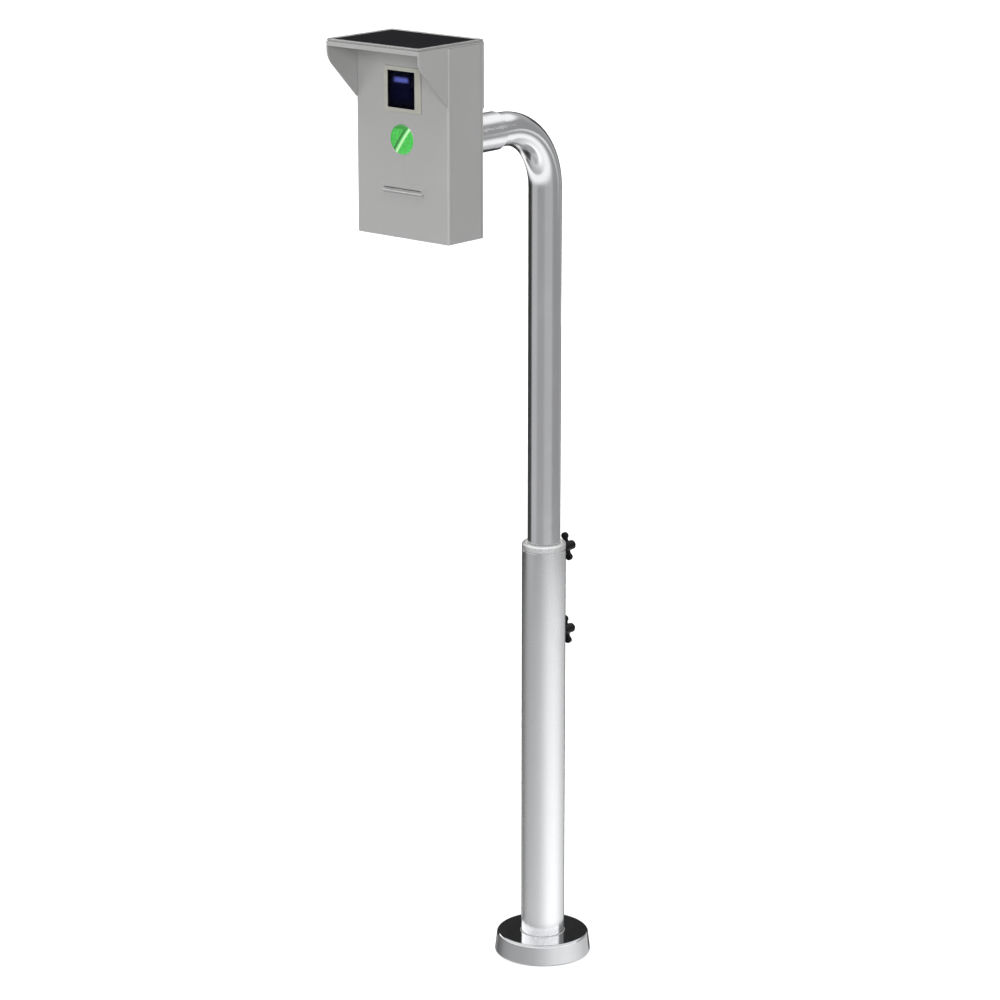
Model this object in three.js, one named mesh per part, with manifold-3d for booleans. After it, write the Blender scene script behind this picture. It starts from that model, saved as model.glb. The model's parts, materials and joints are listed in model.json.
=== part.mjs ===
// Charging-point terminal post: a telescopic gooseneck post on a bolted base, with a hooded
// sheet-metal head that holds a display, a tap target and a card slot.
// Millimetres, +Z up. The origin is on the ground at the post's axis, and the head faces -Y.

import * as THREE from 'three';
import { mergeVertices } from 'three/addons/utils/BufferGeometryUtils.js';
import Module from 'manifold-3d';

const wasm = await Module();
wasm.setup();

// ---------------------------------------------------------------- driving dimensions

const GAP = 0.3;                  // room kept between neighbouring pieces
const TUBE_SIDES = 36;

const LOWER_R = 31.5;
const LOWER_WALL = 2.5;
const POST_TOP_Z = 622;           // top of the collar on the lower tube
const COLLAR_H = 10;

const UPPER_R = 23.4;
const UPPER_WALL = 2;
const MAST_END_Z = 160;           // lower end of the mast, inside the lower tube
const ARM_Z = 1224.5;             // height of the arm's centre line
const BEND_R = 92.2;
const BEND_STEPS = 14;

const PLATE_R = 64;
const PLATE_T = 8;
const INLET_R = 14.5;
const ANCHOR_CIRCLE_R = 49;
const ANCHOR_COUNT = 4;
const ANCHOR_R = 4.9;
const WASHER_R = 10;
const WASHER_T = 2;
const BOLT_HEAD_R = 9.8;          // centre to corner of the hexagon
const BOLT_HEAD_H = 6.45;

const COVER_FOOT_R = 69.6;
const COVER_TOP_R = 66.4;
const COVER_H = 30;
const COVER_WALL = 1.5;

const CLAMP_HEIGHTS = { upper: 603.6, lower: 478.8 };
const CLAMP_TILTS = { upper: 15, lower: 12 };    // degrees that each wing leans from upright
const STUD_R = 3.9;
const BOSS_R = 8.5;
const CLAMP_HOLE_R = 4.6;
const BOSS_END_Y = 37.9;
const WING_Y = 52;                // middle of the wings, from the post's axis
const WING_T = 7;
const WING_REACH = 15.5;          // hub centre to the middle of a wing's round end
const WING_END_R = 5.2;
const WING_WEB_W = 5.2;
const HUB_R = 7;
const HUB_END_Y = 66;

const HEAD_W = 161.4;
const HEAD_BOTTOM_Z = 1104;
const HEAD_TOP_Z = 1367.6;
const FACE_Y = -294.6;
const BACK_Y = -225.6;
const HOOD_FRONT_Y = -351.7;
const SHEET = 2;                  // sheet thickness of the head's body and hood
const TRIM_T = 3;                 // thickness of the frame round the top window
const PANEL_T = 3;                // thickness of the back panel
const EDGE_R = 3;                 // fold radius of the head's upright edges
const HOOD_SLOPE_Z = 1284.8;      // where the cheeks' slope meets the face
const CHEEK_FILLET_R = 30;
const HOOD_LIP_BOTTOM_Z = 1276.5;

const DISPLAY_Z = 1301.6;
const DISPLAY_W = 48;
const DISPLAY_H = 49;
const BEZEL_W = 60;
const TARGET_Z = 1235.8;
const TARGET_R = 20;
const SLOT_Z = 1170;
const SLOT_W = 66;

const SOCKET_R = 26.4;
const SOCKET_START_Y = -109;
const FLANGE_W = 84;
const FLANGE_T = 4;
const FLANGE_BOLT_OFFSET = 32;
const FLANGE_BOLT_R = 2.9;
const FLANGE_HOLE_R = 3.3;
const FLANGE_NUT_W = 10;          // across the flats
const SET_SCREW_R = 3;
const BACK_SCREW_R = 1.9;
const BACK_SCREW_HEAD_R = 4;
const BACK_SCREW_HOLE_R = 2.4;

// ---------------------------------------------------------------- materials

const finish = (color, roughness, metalness) =>
  new THREE.MeshStandardMaterial({ color, roughness, metalness });

const STEEL = () => finish(0xb9babc, 0.3, 1);
const POLISHED = () => finish(0xc9cacc, 0.08, 1);
const PLATE = () => finish(0x9c9fa3, 0.5, 0.9);
const FASTENER = () => finish(0xa7a8aa, 0.35, 1);
const SILVER = () => finish(0xb1b1b0, 0.45, 0.55);
const TRIM = () => finish(0xc6c6c4, 0.3, 0.8);
const BLACK_GLOSS = () => finish(0x101113, 0.12, 0);
const BLACK_PLASTIC = () => finish(0x0c0c0d, 0.5, 0);
const GREY_PLASTIC = () => finish(0xbcbcae, 0.45, 0);
const NYLON = () => finish(0xc9c9c4, 0.5, 0);
const RUBBER = () => finish(0x1b1b1c, 0.8, 0);
const LENS = () => finish(0x0a0d1c, 0.06, 0);
const LCD = () => finish(0x1b2350, 0.3, 0);
const GREEN = () => finish(0x35c443, 0.3, 0);
const BOARD = () => finish(0x1f5a35, 0.55, 0);
const CASE_METAL = () => finish(0x8f9294, 0.4, 0.9);

// ---------------------------------------------------------------- geometry helpers

// A closed mesh with shared vertices, no collapsed triangles, and its faces pointing out.
function closed(source) {
  const bare = source.clone();
  bare.deleteAttribute('normal');
  bare.deleteAttribute('uv');
  const merged = mergeVertices(bare, 1e-4);
  const index = merged.index.array;
  const place = merged.attributes.position;
  const corners = [new THREE.Vector3(), new THREE.Vector3(), new THREE.Vector3()];
  const kept = [];
  let volume = 0;
  for (let i = 0; i < index.length; i += 3) {
    const [a, b, c] = [index[i], index[i + 1], index[i + 2]];
    if (a === b || b === c || c === a) continue;
    kept.push(a, b, c);
    [a, b, c].forEach((v, k) => corners[k].fromBufferAttribute(place, v));
    volume += corners[0].dot(corners[1].clone().cross(corners[2]));
  }
  if (volume < 0) {
    kept.reverse();
  }
  merged.setIndex(kept);
  merged.computeVertexNormals();
  return merged;
}

function solidOf(geometry) {
  const shape = closed(geometry);
  return new wasm.Manifold(new wasm.Mesh({
    numProp: 3,
    vertProperties: new Float32Array(shape.attributes.position.array),
    triVerts: new Uint32Array(shape.index.array),
  }));
}

function geometryOf(solid) {
  const mesh = solid.getMesh();
  const geometry = new THREE.BufferGeometry();
  geometry.setAttribute('position', new THREE.BufferAttribute(mesh.vertProperties, 3));
  geometry.setIndex(new THREE.BufferAttribute(mesh.triVerts, 1));
  geometry.computeVertexNormals();
  return geometry;
}

function join(...geometries) {
  return geometryOf(geometries.map(solidOf).reduce((sum, next) => sum.add(next)));
}

function cut(geometry, ...cutters) {
  const whole = solidOf(geometry);
  return geometryOf(cutters.map(solidOf).reduce((left, tool) => left.subtract(tool), whole));
}

// A box from its low corner to its high corner.
function block([x0, y0, z0], [x1, y1, z1]) {
  const geometry = new THREE.BoxGeometry(x1 - x0, y1 - y0, z1 - z0);
  return geometry.translate((x0 + x1) / 2, (y0 + y1) / 2, (z0 + z1) / 2);
}

// A cylinder along Z from z0 to z1.
function upright(radius, z0, z1, sides = 24) {
  const geometry = new THREE.CylinderGeometry(radius, radius, z1 - z0, sides);
  return geometry.rotateX(Math.PI / 2).translate(0, 0, (z0 + z1) / 2);
}

// A cylinder along Y from y0 to y1.
function level(radius, y0, y1, sides = 24) {
  const geometry = new THREE.CylinderGeometry(radius, radius, y1 - y0, sides);
  return geometry.translate(0, (y0 + y1) / 2, 0);
}

// A solid of revolution about Z from [radius, height] pairs.
function turned(profile, sides = TUBE_SIDES) {
  const points = profile.map(([r, z]) => new THREE.Vector2(r, z));
  return closed(new THREE.LatheGeometry(points, sides).rotateX(Math.PI / 2));
}

// A plain ring about Z.
function ring(inner, outer, z0, z1, sides = TUBE_SIDES) {
  return turned([[inner, z0], [outer, z0], [outer, z1], [inner, z1], [inner, z0]], sides);
}

// A rectangle with rounded corners, centred on (cx, cy).
function roundedRectangle(width, depth, radius, cx = 0, cy = 0) {
  const [x0, x1] = [cx - width / 2, cx + width / 2];
  const [y0, y1] = [cy - depth / 2, cy + depth / 2];
  const shape = new THREE.Shape();
  shape.moveTo(x0 + radius, y0);
  shape.absarc(x1 - radius, y0 + radius, radius, -Math.PI / 2, 0);
  shape.absarc(x1 - radius, y1 - radius, radius, 0, Math.PI / 2);
  shape.absarc(x0 + radius, y1 - radius, radius, Math.PI / 2, Math.PI);
  shape.absarc(x0 + radius, y0 + radius, radius, Math.PI, 1.5 * Math.PI);
  return shape;
}

// An outline in the XY plane raised from z0 to z1.
function raised(shape, z0, z1, curveSegments = 3) {
  const options = { depth: z1 - z0, bevelEnabled: false, curveSegments };
  return new THREE.ExtrudeGeometry(shape, options).translate(0, 0, z0);
}

// An outline drawn in the (x, z) plane, given depth along Y from y0 to y1.
function standing(shape, y0, y1, curveSegments = 3) {
  return raised(shape, 0, y1 - y0, curveSegments).rotateX(Math.PI / 2).translate(0, y1, 0);
}

// An outline drawn in the (y, z) plane, given width along X from x0.
function sideways(shape, x0, width, curveSegments = 3) {
  const geometry = new THREE.ExtrudeGeometry(shape, { depth: width, bevelEnabled: false, curveSegments });
  const turn = new THREE.Matrix4().makeBasis(
    new THREE.Vector3(0, 1, 0), new THREE.Vector3(0, 0, 1), new THREE.Vector3(1, 0, 0));
  return geometry.applyMatrix4(turn).translate(x0, 0, 0);
}

// A hexagonal prism along Y, given by its width across the flats.
function hexPrism(across, y0, y1) {
  return level(across / Math.sqrt(3), y0, y1, 6);
}

const post = new THREE.Group();
post.name = 'charging_terminal_post';

function add(group, name, geometry, material, position = [0, 0, 0]) {
  const mesh = new THREE.Mesh(closed(geometry), material);
  mesh.name = name;
  mesh.position.set(...position);
  group.add(mesh);
  return mesh;
}

function subgroup(parent, position = [0, 0, 0]) {
  const group = new THREE.Group();
  group.position.set(...position);
  parent.add(group);
  return group;
}

// ---------------------------------------------------------------- base

const base = subgroup(post);

function anchorAngle(i) {
  return (i + 0.5) * 2 * Math.PI / ANCHOR_COUNT;
}

function basePlate() {
  const holes = [upright(INLET_R + GAP, -1, PLATE_T + 1)];
  for (let i = 0; i < ANCHOR_COUNT; i += 1) {
    const hole = upright(ANCHOR_R + 2 * GAP, -1, PLATE_T + 1, 16);
    const angle = anchorAngle(i);
    holes.push(hole.translate(ANCHOR_CIRCLE_R * Math.cos(angle), ANCHOR_CIRCLE_R * Math.sin(angle), 0));
  }
  return cut(upright(PLATE_R, 0, PLATE_T, 48), ...holes);
}
add(base, 'base_plate', basePlate(), PLATE());

// Rubber ring in the plate's cable hole, with a lip on top.
function inletGrommet() {
  const bore = INLET_R - 4;
  const lipR = INLET_R + 3;
  const foot = 0.5;
  const seat = PLATE_T + GAP;
  const top = seat + 2.5;
  return turned([
    [bore, foot], [INLET_R, foot], [INLET_R, seat], [lipR, seat], [lipR, top], [bore, top], [bore, foot],
  ], 24);
}
add(base, 'inlet_grommet', inletGrommet(), RUBBER());

// Anchor bolt with its washer: the length set in the ground is left out.
function anchorBolt() {
  const seat = PLATE_T + GAP;
  const washerTop = seat + WASHER_T;
  const headTop = washerTop + BOLT_HEAD_H;
  const shank = upright(ANCHOR_R, 0.2, washerTop, 16);
  const washer = upright(WASHER_R, seat, washerTop, 20);
  const head = upright(BOLT_HEAD_R, washerTop - 0.05, headTop, 6);
  const thread = upright(ANCHOR_R, headTop - 0.5, headTop + 4.5, 16);
  return join(shank, washer, head, thread);
}
for (let i = 0; i < ANCHOR_COUNT; i += 1) {
  const angle = anchorAngle(i);
  const place = [ANCHOR_CIRCLE_R * Math.cos(angle), ANCHOR_CIRCLE_R * Math.sin(angle), 0];
  add(base, `anchor_bolt_${i + 1}`, anchorBolt(), FASTENER(), place);
}

// Earthing stud that stands on the plate, with its nut.
function earthStud() {
  const foot = PLATE_T + GAP;
  const stud = upright(3, foot, foot + 16, 12);
  const nut = upright(5.7, foot + 1, foot + 6, 6);
  return join(stud, nut);
}
add(base, 'earth_stud', earthStud(), FASTENER(), [0, ANCHOR_CIRCLE_R, 0]);

// Spun cover: an open-bottomed shell round the post's foot.
function baseCover() {
  const outer = [
    [COVER_FOOT_R, GAP], [COVER_FOOT_R - 0.4, 6], [COVER_TOP_R + 1.4, 21],
    [COVER_TOP_R + 0.8, 25.5], [COVER_TOP_R - 1, 28.6], [COVER_TOP_R - 4, COVER_H],
    [LOWER_R + 0.9, COVER_H],
  ];
  const inner = outer.map(([r, z], i) => {
    const atRim = i >= outer.length - 2;
    const drop = z > 20 ? COVER_WALL * Math.min(1, (z - 20) / 6) : 0;
    return [atRim && i === outer.length - 1 ? r : r - COVER_WALL, z - drop];
  });
  return turned([...outer, ...inner.reverse(), outer[0]], 48);
}
add(base, 'base_cover', baseCover(), POLISHED());

// ---------------------------------------------------------------- lower tube and collar

function clampHole(height, radius) {
  return level(radius, 15, 45, 16).translate(0, 0, height);
}

const lowerInner = LOWER_R - LOWER_WALL;
const collarBottom = POST_TOP_Z - COLLAR_H;

function lowerTube() {
  const tube = ring(lowerInner, LOWER_R, PLATE_T + GAP, collarBottom - GAP);
  const holes = Object.values(CLAMP_HEIGHTS).map((height) => clampHole(height, CLAMP_HOLE_R));
  return cut(tube, ...holes);
}
add(base, 'lower_tube', lowerTube(), STEEL());

// Collar that caps the lower tube, with a short spigot inside it.
const BUSH_OUTER = 26.5;
function collarRing() {
  const inner = BUSH_OUTER + GAP;
  const spigot = lowerInner - GAP;
  return turned([
    [inner, collarBottom - 3], [spigot, collarBottom - 3], [spigot, collarBottom],
    [LOWER_R, collarBottom], [LOWER_R, POST_TOP_Z - 1], [LOWER_R - 1, POST_TOP_Z],
    [inner, POST_TOP_Z], [inner, collarBottom - 3],
  ]);
}
add(base, 'collar_ring', collarRing(), STEEL());

function upperGuideBush() {
  const sleeve = ring(UPPER_R + GAP, BUSH_OUTER, collarBottom - 37, POST_TOP_Z - 0.6);
  return cut(sleeve, clampHole(CLAMP_HEIGHTS.upper, CLAMP_HOLE_R + 0.2));
}
add(base, 'upper_guide_bush', upperGuideBush(), NYLON());

// ---------------------------------------------------------------- clamp screws

function clampBoss() {
  const body = level(BOSS_R, 26, BOSS_END_Y, 24);
  return cut(body, upright(LOWER_R + GAP, -20, 20, TUBE_SIDES), level(STUD_R + 0.4, 20, 45, 16));
}

const PAD_START_Y = UPPER_R + 0.4;
const PAD_END_Y = PAD_START_Y + 4.4;
const STUD_END_Y = HUB_END_Y - 6.3;

function clampWing() {
  const hub = level(HUB_R, BOSS_END_Y + GAP, HUB_END_Y, 20);
  const [y0, y1] = [WING_Y - WING_T / 2, WING_Y + WING_T / 2];
  const web = block([-WING_WEB_W / 2, y0, -WING_REACH], [WING_WEB_W / 2, y1, WING_REACH]);
  const end = (side) => level(WING_END_R, y0, y1, 16).translate(0, 0, side * WING_REACH);
  const bore = level(STUD_R + GAP, BOSS_END_Y - 1, STUD_END_Y + GAP, 16);
  return cut(join(hub, web, end(-1), end(1)), bore);
}

for (const [place, height] of Object.entries(CLAMP_HEIGHTS)) {
  const clamp = subgroup(post, [0, 0, height]);
  add(clamp, `${place}_clamp_boss`, clampBoss(), STEEL());
  add(clamp, `${place}_clamp_pad`, level(STUD_R, PAD_START_Y, PAD_END_Y, 16), NYLON());
  add(clamp, `${place}_clamp_stud`, level(STUD_R, PAD_END_Y + GAP, STUD_END_Y, 16), FASTENER());
  const wing = add(clamp, `${place}_clamp_wing`, clampWing(), BLACK_PLASTIC());
  wing.rotation.y = -THREE.MathUtils.degToRad(CLAMP_TILTS[place]);
}

// ---------------------------------------------------------------- mast

const mast = subgroup(post);
const armEndY = BACK_Y + FLANGE_T + 3;

// The mast's centre line: straight up, a quarter bend, and level to the head.
// Its stations are the two straight ends and even steps round the bend.
class GooseneckPath extends THREE.Curve {
  getPointAt(u) {
    const station = u * (BEND_STEPS + 2);
    if (station < 1) {
      return new THREE.Vector3(0, 0, THREE.MathUtils.lerp(MAST_END_Z, ARM_Z - BEND_R, station));
    }
    if (station > BEND_STEPS + 1) {
      const along = station - BEND_STEPS - 1;
      return new THREE.Vector3(0, THREE.MathUtils.lerp(-BEND_R, armEndY, along), ARM_Z);
    }
    const angle = (station - 1) / BEND_STEPS * Math.PI / 2;
    return new THREE.Vector3(
      0, -BEND_R * (1 - Math.cos(angle)), ARM_Z - BEND_R * (1 - Math.sin(angle)));
  }

  getTangentAt(u) {
    const angle = THREE.MathUtils.clamp((u * (BEND_STEPS + 2) - 1) / BEND_STEPS, 0, 1) * Math.PI / 2;
    return new THREE.Vector3(0, -Math.sin(angle), Math.cos(angle));
  }
}

function mastTube() {
  const section = new THREE.Shape().absarc(0, 0, UPPER_R, 0, 2 * Math.PI);
  section.holes.push(new THREE.Path().absarc(0, 0, UPPER_R - UPPER_WALL, 0, 2 * Math.PI));
  return new THREE.ExtrudeGeometry(section, {
    steps: BEND_STEPS + 2,
    curveSegments: TUBE_SIDES / 2,
    extrudePath: new GooseneckPath(),
  });
}
add(mast, 'mast_tube', mastTube(), STEEL());

const BUSH_START_Z = MAST_END_Z + 6;
const BUSH_LENGTH = 40;
const guideBush = ring(UPPER_R + GAP, lowerInner - 0.4, 0, BUSH_LENGTH);
add(mast, 'lower_guide_bush', guideBush, NYLON(), [0, 0, BUSH_START_Z]);
const CLIP_T = 2;
const CLIP_R = 26.6;
const clipHeights = { lower: BUSH_START_Z - CLIP_T - 0.5, upper: BUSH_START_Z + BUSH_LENGTH + 0.5 };
for (const [place, height] of Object.entries(clipHeights)) {
  add(mast, `${place}_bush_clip`, ring(UPPER_R + GAP, CLIP_R, 0, CLIP_T), FASTENER(), [0, 0, height]);
}

// ---------------------------------------------------------------- head mounting on the arm

const neck = subgroup(mast, [0, 0, ARM_Z]);
const flangeY = BACK_Y + GAP;
const setScrewYs = [-150, -190];

function headSocket() {
  const end = flangeY + FLANGE_T + GAP;
  const sleeve = ring(UPPER_R + GAP, SOCKET_R, -SOCKET_START_Y, -end).rotateX(Math.PI / 2);
  const hole = (y) => upright(SET_SCREW_R + 0.4, -SOCKET_R - 2, -UPPER_R + 2, 12).translate(0, y, 0);
  return cut(sleeve, ...setScrewYs.map(hole));
}
add(neck, 'head_socket', headSocket(), STEEL());

setScrewYs.forEach((y, i) => {
  const screw = upright(SET_SCREW_R, -SOCKET_R - 1, -UPPER_R - GAP, 12);
  add(neck, `socket_set_screw_${i + 1}`, screw, FASTENER(), [0, y, 0]);
});

const flangeCorners = [[-1, -1], [1, -1], [1, 1], [-1, 1]];

function socketFlange() {
  const plate = standing(roundedRectangle(FLANGE_W, FLANGE_W, 6), flangeY, flangeY + FLANGE_T);
  const holes = flangeCorners.map(([sx, sz]) =>
    level(FLANGE_HOLE_R, flangeY - 1, flangeY + FLANGE_T + 1, 12)
      .translate(sx * FLANGE_BOLT_OFFSET, 0, sz * FLANGE_BOLT_OFFSET));
  return cut(plate, level(21, flangeY - 1, flangeY + FLANGE_T + 1), ...holes);
}
add(neck, 'socket_flange', socketFlange(), STEEL());

// Bolt through flange and back panel, with its nut done up inside the head.
function flangeBolt() {
  const headStart = flangeY + FLANGE_T + GAP;
  const nutEnd = BACK_Y - PANEL_T - GAP;
  return join(
    hexPrism(FLANGE_NUT_W, headStart, headStart + 4.5),
    level(FLANGE_BOLT_R, nutEnd - 7, headStart + 1, 12),
    hexPrism(FLANGE_NUT_W, nutEnd - 5, nutEnd));
}
flangeCorners.forEach(([sx, sz], i) => {
  const place = [sx * FLANGE_BOLT_OFFSET, 0, sz * FLANGE_BOLT_OFFSET];
  add(neck, `flange_bolt_${i + 1}`, flangeBolt(), FASTENER(), place);
});

// ---------------------------------------------------------------- head shell

const head = subgroup(mast);
const half = HEAD_W / 2;
const hoodTop = HEAD_TOP_Z - TRIM_T - GAP;
const hoodUnder = hoodTop - SHEET;
const hoodBack = BACK_Y + GAP + SHEET;
const bodyTop = hoodUnder - GAP;
const bodyBack = BACK_Y - PANEL_T - GAP;
const faceInside = FACE_Y + SHEET;
const screwXs = [-73, 73];
const screwZs = [HEAD_BOTTOM_Z + 9, bodyTop - 9];
const screwPlaces = screwXs.flatMap((x) => screwZs.map((z) => [x, 0, z]));

// A block about the display's centre, wider than its window by a margin on every side.
function displayBlock(margin, y0, y1) {
  const [x, z] = [DISPLAY_W / 2 + margin, DISPLAY_H / 2 + margin];
  return block([-x, y0, -z], [x, y1, z]);
}

// The well over the antenna board, through the body's top sheet and the hood.
function aerialWell(z0, z1) {
  return block([-50, -280, z0], [50, -240, z1]);
}

// Folded box, open at the back, with a screw block in each corner.
function headBody() {
  const depth = bodyBack - FACE_Y;
  const middleY = (bodyBack + FACE_Y) / 2;
  const outer = raised(roundedRectangle(HEAD_W, depth, EDGE_R, 0, middleY), HEAD_BOTTOM_Z, bodyTop);
  const squareBack = block([-half, bodyBack - 8, HEAD_BOTTOM_Z], [half, bodyBack, bodyTop]);
  const cavity = block(
    [-half + SHEET, faceInside, HEAD_BOTTOM_Z + SHEET],
    [half - SHEET, bodyBack + 1, bodyTop - SHEET]);
  const displayHole = displayBlock(3, FACE_Y - 1, faceInside + 1).translate(0, 0, DISPLAY_Z);
  const targetHole = level(TARGET_R + 0.4, FACE_Y - 1, faceInside + 1, 32).translate(0, 0, TARGET_Z);
  const slotHole = block([-36, FACE_Y - 1, SLOT_Z - 5], [36, faceInside + 1, SLOT_Z + 5]);
  const aerialHole = aerialWell(bodyTop - SHEET - 1, bodyTop + 1);
  const blocks = screwPlaces.map(([x, , z]) => {
    const [sx, sz] = [Math.sign(x), z > ARM_Z ? 1 : -1];
    const xs = [x - sx * 5, sx * (half - 1)].sort((a, b) => a - b);
    const edge = sz > 0 ? bodyTop - 1 : HEAD_BOTTOM_Z + 1;
    const zs = [z - sz * 5, edge].sort((a, b) => a - b);
    return block([xs[0], bodyBack - 14, zs[0]], [xs[1], bodyBack, zs[1]]);
  });
  const shell = cut(join(outer, squareBack), cavity, displayHole, targetHole, slotHole, aerialHole);
  const tap = (place) => level(BACK_SCREW_R + GAP, bodyBack - 12, bodyBack + 1, 12).translate(...place);
  return cut(join(shell, ...blocks), ...screwPlaces.map(tap));
}
add(head, 'head_body', headBody(), SILVER());

const CABLE_HOLE_R = 17;

function backPanel() {
  const plate = block([-half, BACK_Y - PANEL_T, HEAD_BOTTOM_Z], [half, BACK_Y, bodyTop]);
  const through = (radius, [x, , z]) =>
    level(radius, BACK_Y - PANEL_T - 1, BACK_Y + 1, radius > 10 ? 24 : 12).translate(x, 0, z);
  const bolts = flangeCorners.map(([sx, sz]) =>
    through(FLANGE_HOLE_R, [sx * FLANGE_BOLT_OFFSET, 0, ARM_Z + sz * FLANGE_BOLT_OFFSET]));
  return cut(
    plate,
    through(CABLE_HOLE_R, [0, 0, ARM_Z]),
    ...bolts,
    ...screwPlaces.map((place) => through(BACK_SCREW_HOLE_R, place)));
}
add(head, 'back_panel', backPanel(), SILVER());

// Rubber ring where the cables pass from the arm into the head.
function headGrommet() {
  const bore = CABLE_HOLE_R - 5;
  const waist = CABLE_HOLE_R - GAP;
  const lipR = CABLE_HOLE_R + 3;
  const outside = BACK_Y + GAP;
  const inside = BACK_Y - PANEL_T - GAP;
  const lipEnd = inside - 2;
  return turned([
    [bore, lipEnd], [lipR, lipEnd], [lipR, inside], [waist, inside],
    [waist, outside], [bore, outside], [bore, lipEnd],
  ], 24).rotateX(-Math.PI / 2);
}
add(head, 'head_grommet', headGrommet(), RUBBER(), [0, 0, ARM_Z]);

// Pan-head screw through the back panel. The upper two also hold the hood's back lip.
const inUpperRow = ([, , z]) => z > ARM_Z;
function backScrew(place) {
  const seat = BACK_Y + GAP + (inUpperRow(place) ? SHEET + GAP : 0);
  const shank = level(BACK_SCREW_R, BACK_Y - 13, seat + 1, 12);
  const panHead = level(BACK_SCREW_HEAD_R, seat, seat + 2.2, 16);
  return join(shank, panHead);
}
screwPlaces.forEach((place, i) => {
  add(head, `back_screw_${i + 1}`, backScrew(place), FASTENER(), place);
});

// Hood: a top sheet that overhangs the face, two cheeks, a front lip and a lip down the back.
function cheekOutline() {
  const tangent = CHEEK_FILLET_R * Math.tan(Math.PI / 8);
  const cornerZ = HOOD_SLOPE_Z + (FACE_Y - HOOD_FRONT_Y);
  const rear = FACE_Y - GAP;
  const arcZ = cornerZ + tangent;
  const shape = new THREE.Shape();
  shape.moveTo(rear, hoodUnder + 1);
  shape.lineTo(HOOD_FRONT_Y, hoodUnder + 1);
  shape.lineTo(HOOD_FRONT_Y, arcZ);
  shape.absarc(HOOD_FRONT_Y + CHEEK_FILLET_R, arcZ, CHEEK_FILLET_R, Math.PI, 1.25 * Math.PI);
  shape.lineTo(rear, HOOD_SLOPE_Z + GAP);
  return shape;
}

function hood() {
  const top = block([-half, HOOD_FRONT_Y, hoodUnder], [half, hoodBack, hoodTop]);
  const backLip = block([-half, hoodBack - SHEET, HOOD_LIP_BOTTOM_Z], [half, hoodBack, hoodTop]);
  const frontLip = block([-half, HOOD_FRONT_Y, hoodUnder - 4], [half, HOOD_FRONT_Y + SHEET, hoodTop]);
  const cheeks = [-half, half - SHEET].map((x) => sideways(cheekOutline(), x, SHEET, 6));
  const holes = screwPlaces.filter(inUpperRow)
    .map((place) => level(BACK_SCREW_HOLE_R, BACK_Y - 1, BACK_Y + 5, 12).translate(...place));
  const aerialHole = aerialWell(hoodUnder - 1, hoodTop + 1);
  return cut(join(top, backLip, frontLip, ...cheeks), ...holes, aerialHole);
}
add(head, 'hood', hood(), SILVER());

// Frame on top of the hood and the dark window that it holds.
const WINDOW_X = 67;
const WINDOW_FRONT_Y = -344;
const WINDOW_BACK_Y = -246;

function topFrame() {
  const middleY = (HOOD_FRONT_Y + hoodBack) / 2;
  const depth = hoodBack - HOOD_FRONT_Y;
  const outline = roundedRectangle(HEAD_W, depth, EDGE_R, 0, middleY);
  const opening = block(
    [-WINDOW_X, WINDOW_FRONT_Y, hoodTop - 1], [WINDOW_X, WINDOW_BACK_Y, HEAD_TOP_Z + 1]);
  return cut(raised(outline, hoodTop + GAP, HEAD_TOP_Z), opening);
}
add(head, 'top_frame', topFrame(), TRIM());

const windowGap = 0.4;
add(head, 'top_window', block(
  [-WINDOW_X + windowGap, WINDOW_FRONT_Y + windowGap, hoodTop + GAP],
  [WINDOW_X - windowGap, WINDOW_BACK_Y - windowGap, HEAD_TOP_Z - 0.5]), BLACK_GLOSS());

// ---------------------------------------------------------------- face fittings

// Display bezel: a flat frame on the face, with a skirt through the wall.
const BEZEL_FRONT_Y = FACE_Y - 2;
function displayBezel() {
  const flange = standing(roundedRectangle(BEZEL_W, BEZEL_W, 3), BEZEL_FRONT_Y, FACE_Y - GAP);
  const skirt = displayBlock(2.6, FACE_Y - 1, FACE_Y + 3.2);
  const opening = displayBlock(0, BEZEL_FRONT_Y - 1, FACE_Y + 5);
  const recess = displayBlock(1.6, FACE_Y - 0.8, FACE_Y + 5);
  return cut(join(flange, skirt), opening, recess);
}
add(head, 'display_bezel', displayBezel(), GREY_PLASTIC(), [0, 0, DISPLAY_Z]);

const windowPane = displayBlock(1.2, FACE_Y - 0.5, FACE_Y + 1.3);
add(head, 'display_window', windowPane, LENS(), [0, 0, DISPLAY_Z]);

// Display with its glass inside the bezel's skirt and its board behind.
function displayModule() {
  const glass = displayBlock(0.5, FACE_Y + 1.6, FACE_Y + 4);
  const board = block([-33, FACE_Y + 3.6, -33], [33, FACE_Y + 11, 33]);
  return join(glass, board);
}
add(head, 'display_module', displayModule(), LCD(), [0, 0, DISPLAY_Z]);

// Tap target: a shallow domed disc in the face.
function tapTarget() {
  const back = FACE_Y + 2.4;
  const rim = FACE_Y - 0.6;
  return turned([
    [0, -back], [TARGET_R, -back], [TARGET_R, -rim], [TARGET_R - 1, -rim + 0.9],
    [TARGET_R * 0.55, -rim + 1.4], [0, -rim + 1.6],
  ], 32).rotateX(Math.PI / 2);
}
add(head, 'tap_target', tapTarget(), GREEN(), [0, 0, TARGET_Z]);

const BOARD_T = 1.6;
const readerBoard = block([-33, FACE_Y + 5, -28], [33, FACE_Y + 5 + BOARD_T, 28]);
add(head, 'reader_board', readerBoard, BOARD(), [0, 0, TARGET_Z]);

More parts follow.
